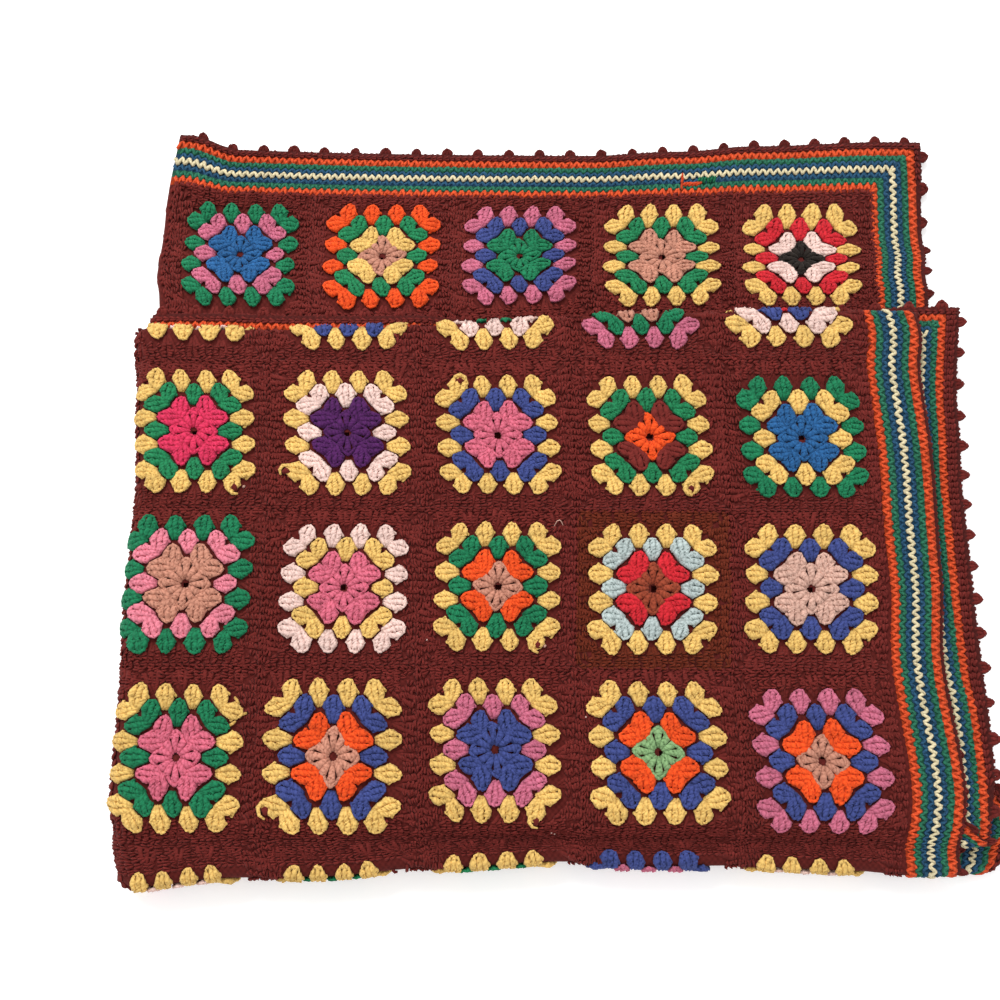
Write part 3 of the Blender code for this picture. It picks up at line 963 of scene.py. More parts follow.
@dataclass
class Layout:
    """Places of the stitches in one yarn on the flat cloth."""

    kinds: list[str] = field(default_factory=list)
    points: list[tuple[float, float, float]] = field(default_factory=list)
    turns: list[tuple[float, float, float]] = field(default_factory=list)
    sizes: list[tuple[float, float, float]] = field(default_factory=list)

    def add(self, kind: str, s: float, v: float, turn: float, face: int = 1, lift: float = 0.0,
            size: tuple[float, float, float] = (1.0, 1.0, 1.0)) -> None:
        """Adds one place.

        Args:
            kind: Name of the stitch.
            s: Place across the cloth.
            v: Place along the cloth.
            turn: Turn of the stitch on the cloth, in radians, as seen on the face w > 0.
            face: 1 for the face w > 0, -1 for the other one.
            lift: Height over the cloth's middle.
            size: Scale along the stitch's own axes.
        """
        self.kinds.append(kind)
        self.points.append((s, v, face * lift))
        self.turns.append((0.0, 0.0, turn) if face > 0 else (math.pi, 0.0, turn + math.pi))
        self.sizes.append(size)

    def halves(self) -> tuple["Layout", "Layout"]:
        """Splits the places, so that no piece grows too heavy.

        Returns:
            The first and the second half.
        """
        middle = len(self.kinds) // 2
        columns = (self.kinds, self.points, self.turns, self.sizes)
        return (Layout(*(column[:middle] for column in columns)),
                Layout(*(column[middle:] for column in columns)))


class StitchSetter:
    """Sets stitches out with one geometry node tree and folds the result.

    What each kind of random draw adds to the seed keeps the draws apart.
    """

    SHADE_DRAW = 11
    COPY_DRAW = 17
    TURN_DRAW = 5
    SIZE_DRAW = 3

    def __init__(self, cloth: FoldedCloth, shop: YarnShop, maker: StitchMaker) -> None:
        """Builds the tree.

        Args:
            cloth: The folding rule.
            shop: The yarn materials.
            maker: The stitches.
        """
        self.cloth = cloth
        self.shop = shop
        self.maker = maker
        self.tree = self._tree()

    def _tree(self) -> NodeTree:
        """A stitch at each point, with small changes of turn, size and shade.

        Returns:
            The tree.
        """
        wire, given, result = new_group("set_stitches", "GeometryNodeTree", {
            "Places": "Geometry", "Stitches": "Collection", "Yarn": "Material", "Seed": "Int",
            "Turn Jitter": "Float", "Size Jitter": "Float"}, {"Places": "Geometry"})

        def stored(name: str, data_type: str = "FLOAT") -> NodeSocket:
            """A value stored on the points."""
            return wire.node("GeometryNodeInputNamedAttribute", {"Name": name},
                             data_type=data_type).outputs["Attribute"]

        def random_between(low: object, high: object, offset: int) -> NodeSocket:
            """A random number for each point.

            Args:
                low: Lowest number.
                high: Highest number.
                offset: What the draw adds to the seed.

            Returns:
                The number.
            """
            seed = wire.plus(given["Seed"], offset)
            return wire.node("FunctionNodeRandomValue", {2: low, 3: high, "Seed": seed},
                             data_type="FLOAT").outputs[1]

        def random_within(reach: NodeSocket, offset: int) -> NodeSocket:
            """A random number for each point, from minus the reach to the reach."""
            return random_between(wire.times(reach, -1.0), reach, offset)

        shade = random_between(-1.0, 1.0, self.SHADE_DRAW)
        shaded = wire.node("GeometryNodeStoreNamedAttribute", {
            "Geometry": given["Places"], "Name": "shade", "Value": shade}, data_type="FLOAT", domain="POINT")
        stitches = wire.node("GeometryNodeCollectionInfo", {
            "Collection": given["Stitches"], "Separate Children": True})
        share = random_between(0.0, 0.999, self.COPY_DRAW)
        copy = wire.maths("FLOOR", wire.times(share, stored("copies")))
        swing = wire.node("ShaderNodeCombineXYZ", {2: random_within(given["Turn Jitter"], self.TURN_DRAW)})
        turn = wire.node("ShaderNodeVectorMath", {0: stored("turn", "FLOAT_VECTOR"), 1: swing.outputs[0]},
                         operation="ADD")
        grow = wire.plus(random_within(given["Size Jitter"], self.SIZE_DRAW), 1.0)
        setting = wire.node("GeometryNodeInstanceOnPoints", {
            "Points": shaded.outputs["Geometry"], "Instance": stitches.outputs["Instances"],
            "Pick Instance": True, "Instance Index": wire.plus(copy, stored("first")),
            "Rotation": turn.outputs[0], "Scale": wire.scaled(stored("size", "FLOAT_VECTOR"), grow)})
        real = wire.node("GeometryNodeRealizeInstances", {"Geometry": setting.outputs["Instances"]})
        coloured = wire.node("GeometryNodeSetMaterial", {
            "Geometry": real.outputs[0], "Material": given["Yarn"]})
        wire.feed(result[0], coloured.outputs[0])
        return wire.tree

    def set_out(self, name: str, layout: Layout, yarn: Yarn, seed: int, turn_jitter: float,
                size_jitter: float) -> Mesh:
        """The stitches of one layout as a folded mesh.

        Args:
            name: Name of the mesh.
            layout: Places of its stitches.
            yarn: The yarn it is made in.
            seed: Seed of the small changes.
            turn_jitter: Greatest change of turn, in radians.
            size_jitter: Greatest change of size, as a share.

        Returns:
            The folded mesh with its material.
        """
        places = bpy.data.meshes.new(name + "_places")
        places.from_pydata(layout.points, [], [])
        for key, values in (("turn", layout.turns), ("size", layout.sizes)):
            stored = places.attributes.new(key, "FLOAT_VECTOR", "POINT")
            stored.data.foreach_set("vector", np.asarray(values, dtype=np.float32).ravel())
        for key, column in (("first", 0), ("copies", 1)):
            stored = places.attributes.new(key, "FLOAT", "POINT")
            stored.data.foreach_set("value", [float(self.maker.pick(kind)[column]) for kind in layout.kinds])
        holder = bpy.data.objects.new(name + "_places", places)
        bpy.context.scene.collection.objects.link(holder)
        modifier = holder.modifiers.new("stitches", "NODES")
        modifier.node_group = self.tree
        values = {"Stitches": self.maker.held, "Yarn": self.shop.yarn(yarn), "Seed": seed,
                  "Turn Jitter": turn_jitter, "Size Jitter": size_jitter}
        for item in self.tree.interface.items_tree:
            if item.in_out == "INPUT" and item.name in values:
                modifier[item.identifier] = values[item.name]
        graph = bpy.context.evaluated_depsgraph_get()
        mesh = bpy.data.meshes.new_from_object(holder.evaluated_get(graph), depsgraph=graph)
        holder.modifiers.remove(modifier)
        bpy.data.objects.remove(holder)
        self.fold(mesh)
        return mesh

    def fold(self, mesh: Mesh) -> None:
        """Carries a flat mesh over the folds and presses it flat where it lies on the floor.

        Args:
            mesh: The mesh, which is changed.
        """
        flat = np.empty(len(mesh.vertices) * 3, dtype=np.float32)
        mesh.vertices.foreach_get("co", flat)
        folded = self.cloth.place(flat.reshape(-1, 3))
        z = folded[:, 2]
        folded[:, 2] = np.where(z < MM, MM * np.exp(np.minimum(z / MM, 1.0) - 1.0), z)
        mesh.vertices.foreach_set("co", folded.astype(np.float32).ravel())
        mesh.update()


# --------------------------------------------------------------------------- squares, border and edging

class Detail(Enum):
    """How finely a stitch is made."""

    FINE = "fine"
    PLAIN = "plain"


@dataclass(frozen=True)
class Face:
    """A face of the folded cloth that can be seen, as ranges on the flat cloth."""

    side: int
    v_low: float
    v_high: float
    s_low: float
    s_high: float
    detail: Detail

    def holds(self, s: float, v: float) -> bool:
        """Whether a place lies on the face."""
        return self.s_low <= s < self.s_high and self.v_low <= v < self.v_high


Rounds = tuple[Yarn, ...]


def rounds(words: str) -> Rounds:
    """Yarns of the first to the fourth round, from their names."""
    return tuple(Yarn[word] for word in words.split())


# Yarns of the squares on the upper half by row, from the spine to the open side
SQUARE_ROWS: dict[int, tuple[Rounds, ...]] = {row: tuple(map(rounds, squares)) for row, squares in {
    0: ("COBALT COBALT ORCHID GREEN", "TAN YELLOW DARK_GREEN ORANGE", "GREEN GREEN ROYAL ORCHID",
        "TAN TAN DARK_GREEN YELLOW", "BLACK WHITE RED YELLOW"),
    4: ("BLACK BLACK WHITE YELLOW", "ORANGE TAN GREEN YELLOW", "RED RED DARK_GREEN YELLOW",
        "ROSE WHITE ORCHID ROYAL", "COBALT COBALT WHITE YELLOW"),
    5: ("ROSE ROSE GREEN YELLOW", "TAN ORANGE ROYAL YELLOW", "ROYAL ROYAL ORCHID YELLOW",
        "PALE_GREEN ORANGE ROYAL YELLOW", "TAN ORANGE ROYAL ORCHID"),
    6: ("TAN TAN PINK GREEN", "ROSE ROSE YELLOW WHITE", "TAN ORANGE GREEN YELLOW",
        "RUST RED PALE_BLUE YELLOW", "BEIGE BEIGE ROYAL YELLOW"),
    7: ("HOT_PINK HOT_PINK DARK_GREEN YELLOW", "PURPLE PURPLE WHITE YELLOW", "ROSE ROSE ROYAL YELLOW",
        "ORANGE GROUND DARK_GREEN YELLOW", "COBALT COBALT YELLOW GREEN"),
    8: ("ROSE ROSE WHITE YELLOW", "PINK PINK ROYAL YELLOW", "GREEN GREEN WHITE YELLOW",
        "ORANGE TAN GREEN ORCHID", "RED ROYAL WHITE YELLOW"),
}.items()}


@dataclass(frozen=True)
class Fit:
    """How far one hand-made square differs from the even one: moves in millimetres, and scales."""

    ds: float = 0.0
    dv: float = 0.0
    wide: float = 1.0
    long: float = 1.0


EVEN = Fit()
# The same squares as in SQUARE_ROWS
SQUARE_FITS: dict[int, tuple[Fit, ...]] = {
    0: (Fit(1.0, -3.5, 0.99, 0.92), Fit(1.5, -3.0, 0.99, 0.97), Fit(-2.5, -2.0, 0.96, 0.97),
        Fit(-2.5, 1.0, 0.98, 1.05), Fit(-4.0, 2.5, 1.0, 1.06)),
    4: (Fit(-5.0, -13.0, 0.87), Fit(-10.5, -14.5, 0.91), Fit(-9.0, -13.5, 0.98), Fit(-11.0, -10.5, 0.96),
        Fit(-12.5, -14.5, 0.96)),
    5: (Fit(0.0, -4.5, 0.98, 1.06), Fit(-4.5, -3.0, 1.02, 1.12), Fit(-4.5, 2.5, 0.97, 1.02),
        Fit(-3.0, 1.5, 1.04, 1.02), Fit(-1.0, -4.0, 1.03, 1.05)),
    6: (Fit(-1.0, 1.5, 1.04, 1.07), Fit(1.5, -1.0, 0.99, 0.99), Fit(-0.5, 1.0, 0.98, 0.99),
        Fit(-1.0, 0.0, 1.01), Fit(1.0, 1.0, 1.04, 0.99)),
    7: (Fit(-0.5, 2.0, 0.97, 1.02), Fit(1.0, 1.5, 1.0, 1.04), Fit(0.5, -0.5, 0.97, 0.97),
        Fit(0.0, -1.5, 0.97, 0.96), Fit(0.5, -2.0, 1.01, 0.96)),
    8: (Fit(3.0, 5.0, 1.02), Fit(5.5, -1.0, 0.97), Fit(2.5, -3.0, 0.94), Fit(-2.0, -4.5, 0.93),
        Fit(-3.5, -3.5, 1.04)),
}
OLIVE_SQUARES = {(8, 6)}


@dataclass
class Squares:
    """The granny squares: their rounds of clusters and the seams between them."""

    FIRST_ROUND = 1
    LAST_COLOUR_ROUND = 3
    BROWN_ROUND = 4

    cloth: FoldedCloth
    spacing: float = 0.0203
    outer_corner: float = 0.0296
    round_radii: tuple[float, ...] = (0.0180, 0.0294, 0.0394, 0.0490)
    corner_lean: float = math.radians(13)
    first_round_lean: float = 0.3
    cluster_sizes: tuple[tuple[float, float], ...] = ((0.93, 1.18), (0.91, 1.03), (0.92, 1.05))
    row_radii: tuple[float, ...] = (0.0470, 0.0512, 0.0553)
    row_pitch: float = 0.0050
    filling_radius: float = 0.0430
    filling: tuple[float, ...] = (-0.0425, -0.0385, 0.0385, 0.0425)
    gap_radii: tuple[float, ...] = (0.0345, 0.0388, 0.0430)
    gap_from: float = 6.0
    gap_reach: int = 10
    unevenness: float = 0.0012
    seam_pitch: float = 0.0052
    lift: float = 0.0008
    row_lift: float = 0.0003
    seam_lift: float = 0.0007
    plain_height: float = 0.6
    plain_fan_height: float = 0.5
    chance: random.Random = field(default_factory=lambda: random.Random(13))

    def look_of(self, column: int, row: int) -> tuple[Rounds, Fit]:
        """Look of one square. The unseen squares repeat the others' yarns.

        Args:
            column: Column of the square.
            row: Row of the square.

        Returns:
            Yarns of its four colour rounds, and its fit.
        """
        half = self.cloth.columns // 2
        if column >= half and row in SQUARE_ROWS:
            return SQUARE_ROWS[row][column - half], SQUARE_FITS[row][column - half]
        near = sorted(SQUARE_ROWS)[(row * half + column * 3) % len(SQUARE_ROWS)]
        return SQUARE_ROWS[near][(column * 2 + row) % half], EVEN

    def clusters(self) -> Iterable[tuple[int, float, float, float]]:
        """The clusters of a square, about its middle.

        Returns:
            Round number, x, y and turn of each.
        """
        for number, radius in enumerate(self.round_radii, start=self.FIRST_ROUND):
            count = number + 1
            for side in range(4):
                turn = side * math.pi / 2
                for index in range(count):
                    along = (index - number / 2) * self.spacing
                    lean = 0.0
                    if index in (0, count - 1):
                        share = self.first_round_lean if number == self.FIRST_ROUND else 1.0
                        lean = math.copysign(self.corner_lean, along) * share
                        if number == self.LAST_COLOUR_ROUND:
                            along = math.copysign(self.outer_corner, along)
                    x = along * math.cos(turn) - radius * math.sin(turn)
                    y = along * math.sin(turn) + radius * math.cos(turn)
                    yield number, x, y, turn + lean

    def rows(self) -> Iterable[tuple[float, float, float]]:
        """The small stitches of the brown rows round a square, about its middle.

        Returns:
            x, y and turn of each.
        """
        for radius in self.row_radii:
            count = int(2 * radius / self.row_pitch)
            steps = [(step + 0.5 - count / 2) * self.row_pitch for step in range(count)]
            yield from self._round(radius, steps)
        yield from self._round(self.filling_radius, self.filling)

    def gap_rows(self) -> Iterable[tuple[float, float, float]]:
        """Brown rows that fill the side from which a square's rounds have moved away.

        Returns:
            x, y and turn of each stitch.
        """
        for radius in self.gap_radii:
            for step in range(-self.gap_reach, self.gap_reach + 1):
                along = step * self.row_pitch + self.chance.uniform(-self.unevenness, self.unevenness)
                yield along, radius, math.pi / 2

    def _round(self, radius: float, steps: Sequence[float]) -> Iterable[tuple[float, float, float]]:
        """Uneven places on the four sides of a square round.

        Args:
            radius: Distance of the sides from the middle.
            steps: Places along a side.

        Returns:
            Place and turn of each stitch.
        """
        for side in range(4):
            turn = side * math.pi / 2
            for step in steps:
                along = step + self.chance.uniform(-self.unevenness, self.unevenness)
                out = radius + 0.5 * self.chance.uniform(-self.unevenness, self.unevenness)
                yield (along * math.cos(turn) - out * math.sin(turn),
                       along * math.sin(turn) + out * math.cos(turn), turn + math.pi / 2)

    def lay(self, face: Face, layouts: dict[Yarn, Layout]) -> None:
        """Lays the clusters, rows and seams of every square that reaches onto a face.

        Args:
            face: The face to cover.
            layouts: Places of the stitches by yarn.
        """
        cloth = self.cloth
        fine = face.detail is Detail.FINE
        stretch = cloth.square_length / cloth.square_width

        def put(yarn: Yarn, kind: str, s: float, v: float, turn: float, lift: float = 0.0,
                size: tuple[float, float, float] = (1.0, 1.0, 1.0)) -> None:
            """One place, where the face holds it."""
            if face.holds(s, v):
                layouts[yarn].add(kind, s, v, turn, face.side, lift, size)

        for column, row in itertools.product(range(cloth.columns), range(cloth.rows)):
            s0, v0 = cloth.square_middle(column, row)
            yarns, fit = self.look_of(column, row)
            ground = Yarn.OLIVE if fine and (column, row) in OLIVE_SQUARES else Yarn.GROUND
            s1, v1 = s0 + fit.ds * MM, v0 + fit.dv * MM
            if fine:
                put(yarns[0], "flower", s1, v1, 0.0, self.lift, (fit.wide, fit.long, 1.0))
            for number, x, y, turn in self.clusters():
                if number == self.BROWN_ROUND:
                    put(ground, "fan" if fine else "plain", (s0 + s1) / 2 + x, (v0 + v1) / 2 + y * stretch,
                        turn, size=(1.0, 1.0, 1.0 if fine else self.plain_fan_height))
                elif fine:
                    width, length = self.cluster_sizes[number - self.FIRST_ROUND]
                    put(yarns[number], "cluster", s1 + x * fit.wide, v1 + y * stretch * fit.long, turn,
                        self.lift, (width * fit.wide, length * fit.long, 1.0))
                else:
                    put(yarns[number], "plain", s0 + x, v0 + y * stretch, turn,
                        size=(1.0, 1.0, self.plain_height))
            if fine:
                for x, y, turn in (*self.rows(), *(self.gap_rows() if fit.dv < -self.gap_from else ())):
                    put(ground, "loop", s0 + x, v0 + y * stretch, turn, self.row_lift)
        if fine:
            self._lay_seams(put)

    def _lay_seams(self, put: Callable[..., None]) -> None:
        """Lays the seam stitches along the edges of the squares.

        Args:
            put: Adds one stitch where the face holds it.
        """
        half = self.cloth.columns * self.cloth.square_width / 2
        length = self.cloth.rows * self.cloth.square_length
        for line in range(self.cloth.columns + 1):
            for step in range(int(length / self.seam_pitch)):
                put(Yarn.GROUND, "seam", line * self.cloth.square_width - half,
                    self.cloth.border + (step + 0.5) * self.seam_pitch, math.pi / 2, self.seam_lift)
        for line in range(self.cloth.rows + 1):
            for step in range(int(2 * half / self.seam_pitch)):
                put(Yarn.GROUND, "seam", (step + 0.5) * self.seam_pitch - half,
                    self.cloth.border + line * self.cloth.square_length, 0.0, self.seam_lift)


STRIPES: tuple[tuple[Yarn, float], ...] = (
    (Yarn.EDGE_ORANGE, 6.0), (Yarn.EDGE_GREEN, 5.0), (Yarn.EDGE_BLUE, 4.4), (Yarn.CREAM, 4.8),
    (Yarn.EDGE_BLUE, 4.4), (Yarn.EDGE_GREEN, 5.0), (Yarn.EDGE_ORANGE, 6.0))
STRIPE_STITCHES = {Yarn.CREAM: "cream", Yarn.EDGE_ORANGE: "teeth"}


@dataclass
class Border:
    """The striped rounds round the squares, the brown edge and its picots."""

    cloth: FoldedCloth
    stitch_pitch: float = 0.0061
    edge_pitch: float = 0.0050
    edge_inset: float = 0.0010
    picot_pitch: float = 0.0255
    tucked: tuple[float, float] = (1.05, 1.36)
    without_picots: tuple[float, float] = (0.60, 1.03)
    brown_pitch: float = 0.0034
    brown_inset: float = 0.0018
    brown_margin: float = 0.0015
    brown_lift: float = 0.0003
    end_band: float = 0.0345
    end_brown: float = 0.0065
    upper_band: Curve = Curve(
        (0.0, 0.15, 0.60, 0.80, 0.88, 1.03, 1.40, 1.55, 1.65, 1.86),
        (0.0395, 0.0390, 0.0355, 0.0355, 0.0385, 0.0395, 0.0310, 0.0310, 0.0345, 0.0345))
    upper_brown: Curve = Curve(
        (0.0, 0.06, 0.15, 0.60, 1.03, 1.38, 1.455, 1.475, 1.495, 1.527, 1.565, 1.86),
        (0.0062, 0.0036, 0.0034, 0.0024, 0.0024, 0.0020, 0.0020, 0.0045, 0.0068, 0.0075, 0.0106, 0.0100))

    def inset(self, side: str, share: float, v: np.ndarray) -> np.ndarray:
        """Distance from the cloth's edge of a place in the band.

        Args:
            side: Name of the edge.
            share: Place across the band, 0 at the squares and 1 at the brown edge.
            v: Places along the cloth.

        Returns:
            The distances.
        """
        if side == "upper":
            return self.upper_brown.at(v) + (1 - share) * self.upper_band.at(v)
        return self.end_brown + (1 - share) * self.end_band + 0 * v

    def inset_at(self, side: str, share: float, v: float) -> float:
        """The same distance at one place along the cloth."""
        return float(self.inset(side, share, np.array([v]))[0])

    def sides(self) -> Iterable[tuple[str, float, Callable[[float, float], tuple[float, float]], float]]:
        """The four edges of the cloth.

        Returns:
            Name, half length, place rule and turn of each.
        """
        half_s, half_v = self.cloth.half_width, self.cloth.length / 2
        yield "far", half_s, lambda along, inset: (along, inset), math.pi
        yield "end", half_s, lambda along, inset: (along, 2 * half_v - inset), 0.0
        yield "upper", half_v, lambda along, inset: (half_s - inset, half_v + along), -math.pi / 2
        yield "lower", half_v, lambda along, inset: (-half_s + inset, half_v + along), math.pi / 2

    def lay(self, faces: Sequence[Face], layouts: dict[Yarn, Layout]) -> None:
        """Lays the stripes' stitches on each face.

        Args:
            faces: Faces on which the stripes are stitched.
            layouts: Places of the stitches by yarn.
        """
        total = sum(width for _yarn, width in STRIPES)
        passed = 0.0
        for yarn, width in STRIPES:
            share = (passed + width / 2) / total
            passed += width
            for name, half, rule, turn in self.sides():
                typical = self.inset_at(name, share, half)
                count = int(2 * (half - typical) / self.stitch_pitch)
                size = (1.0, width / StitchMaker.STRIPE_WIDTH, 1.0)
                for step in range(count):
                    along = (step + 0.5 - count / 2) * self.stitch_pitch
                    s, v = rule(along, self.inset_at(name, share, half + along))
                    for face in filter(lambda each: each.holds(s, v), faces):
                        layouts[yarn].add(
                            STRIPE_STITCHES.get(yarn, "vee"), s, v, turn if share > 0.5 else turn + math.pi,
                            face.side, 0.0, size)

    def lay_edge(self, layout: Layout) -> None:
        """Lays the outermost stitches and the picots round the whole blanket.

        Args:
            layout: Places of the edge's stitches.
        """
        for name, half, rule, turn in self.sides():
            for kind, pitch, inset in (("edge", self.edge_pitch, self.edge_inset),
                                       ("picot", self.picot_pitch, 0.0)):
                count = round(2 * half / pitch)
                for step in range(count):
                    s, v = rule((step + 0.5 - count / 2) * 2 * half / count, inset)
                    hidden = name == "upper" and self.tucked[0] < v < self.tucked[1]
                    bare = (name == "upper" and self.without_picots[0] < v < self.without_picots[1]
                            or name == "far" and s < 0)
                    if not (hidden or kind == "picot" and bare):
                        layout.add(kind, s, v, turn)

    def lay_brown(self, faces: Sequence[Face], layout: Layout) -> None:
        """Lays small stitches on the brown edge where it is wide enough.

        Args:
            faces: Faces on which the edge is stitched.
            layout: Places of the edge's stitches.
        """
        for name, half, rule, turn in self.sides():
            count = int(2 * half / self.edge_pitch)
            for step in range(count):
                along = (step + 0.5 - count / 2) * self.edge_pitch
                brown = self.inset_at(name, 1.0, half + along)
                for row in range(int((brown - self.brown_margin) / self.brown_pitch)):
                    s, v = rule(along, brown - self.brown_inset - row * self.brown_pitch)
                    for face in filter(lambda each: each.holds(s, v), faces):
                        layout.add("loop", s, v, turn + math.pi / 2, face.side, self.brown_lift)


@dataclass(frozen=True)
class LooseBit:
    """One loose or mended bit of yarn, by its place on the flat cloth in millimetres."""

    kind: str
    yarn: Yarn
    s: float
    v: float
    turn: float = 0.0
    lift: float = 0.0
    size: float = 1.0
    side: int = 1


@dataclass(frozen=True)
class LooseBits:
    """The pulled corner loops, knots, lint, curl and mend that hand work and use have left."""

    hooks: tuple[tuple[float, float, float], ...] = (
        (88.0, 886.8, 80.0), (126.6, 899.5, 10.0), (261.5, 972.0, -30.0), (431.0, 887.6, 70.0),
        (317.6, 769.4, 60.0), (122.4, 653.0, 45.0), (311.6, 646.8, 70.0))
    knots: tuple[tuple[float, float], ...] = ((94.5, 887.5), (436.7, 887.8), (323.0, 768.6), (317.6, 652.8))
    spurs: tuple[tuple[Yarn, float, float, float], ...] = (
        (Yarn.YELLOW, 98.6, 728.0, 30.0), (Yarn.YELLOW, 103.3, 718.6, -70.0),
        (Yarn.YELLOW, 96.0, 712.0, -50.0), (Yarn.GROUND, 207.0, 598.5, 20.0),
        (Yarn.GROUND, 216.0, 600.5, -10.0))
    lint: tuple[tuple[float, float], ...] = ((322.8, 635.1), (325.2, 633.6), (349.6, 718.3), (236.5, 772.3))
    curl: tuple[float, float] = (327.2, 855.6)
    mend_start: float = 415.0
    mend_rungs: tuple[float, ...] = (24.2, 28.6, 33.4)
    mend_orange: tuple[float, float, float, float] = (417.4, 429.0, 2.9, 31.4)
    mend_green: tuple[float, float, float, float] = (429.0, 444.0, 2.6, 28.0)

    def bits(self) -> Iterable[LooseBit]:
        """Each bit in turn.

        Returns:
            The bits.
        """
        for s, v, turn in self.hooks:
            yield LooseBit("hook", Yarn.YELLOW, s, v, math.radians(turn), size=0.95)
            yield LooseBit("nub", Yarn.GROUND, s, v, math.radians(turn), 3.2, 2.2)
        for s, v in self.knots:
            yield LooseBit("nub", Yarn.BEIGE, s, v, 0.6, 2.2, 0.9)
        for yarn, s, v, turn in self.spurs:
            yield LooseBit("stroke", yarn, s, v, math.radians(turn), 2.6)
        for s, v in self.lint:
            yield LooseBit("nub", Yarn.WHITE, s, v, 1.0, 3.0, 0.5)
        yield LooseBit("curl", Yarn.BEIGE, *self.curl)
        for v in self.mend_rungs:
            yield LooseBit("stroke", Yarn.EDGE_ORANGE, self.mend_start, v, 0.0, 2.4, side=-1)
        for yarn, (start, end, step, v), turn, lift in ((Yarn.EDGE_ORANGE, self.mend_orange, 1.1, 2.4),
                                                        (Yarn.GREEN, self.mend_green, 0.3, 2.2)):
            for s in np.arange(start, end, step):
                yield LooseBit("stroke", yarn, float(s), v, turn, lift, side=-1)

    def lay(self, layouts: dict[Yarn, Layout]) -> None:
        """Adds the bits to the layouts.

        Args:
            layouts: Places of the stitches by yarn.
        """
        for bit in self.bits():
            layouts[bit.yarn].add(bit.kind, bit.s * MM, bit.v * MM, bit.turn, bit.side,
                                                       bit.lift * MM, (bit.size, bit.size, bit.size))


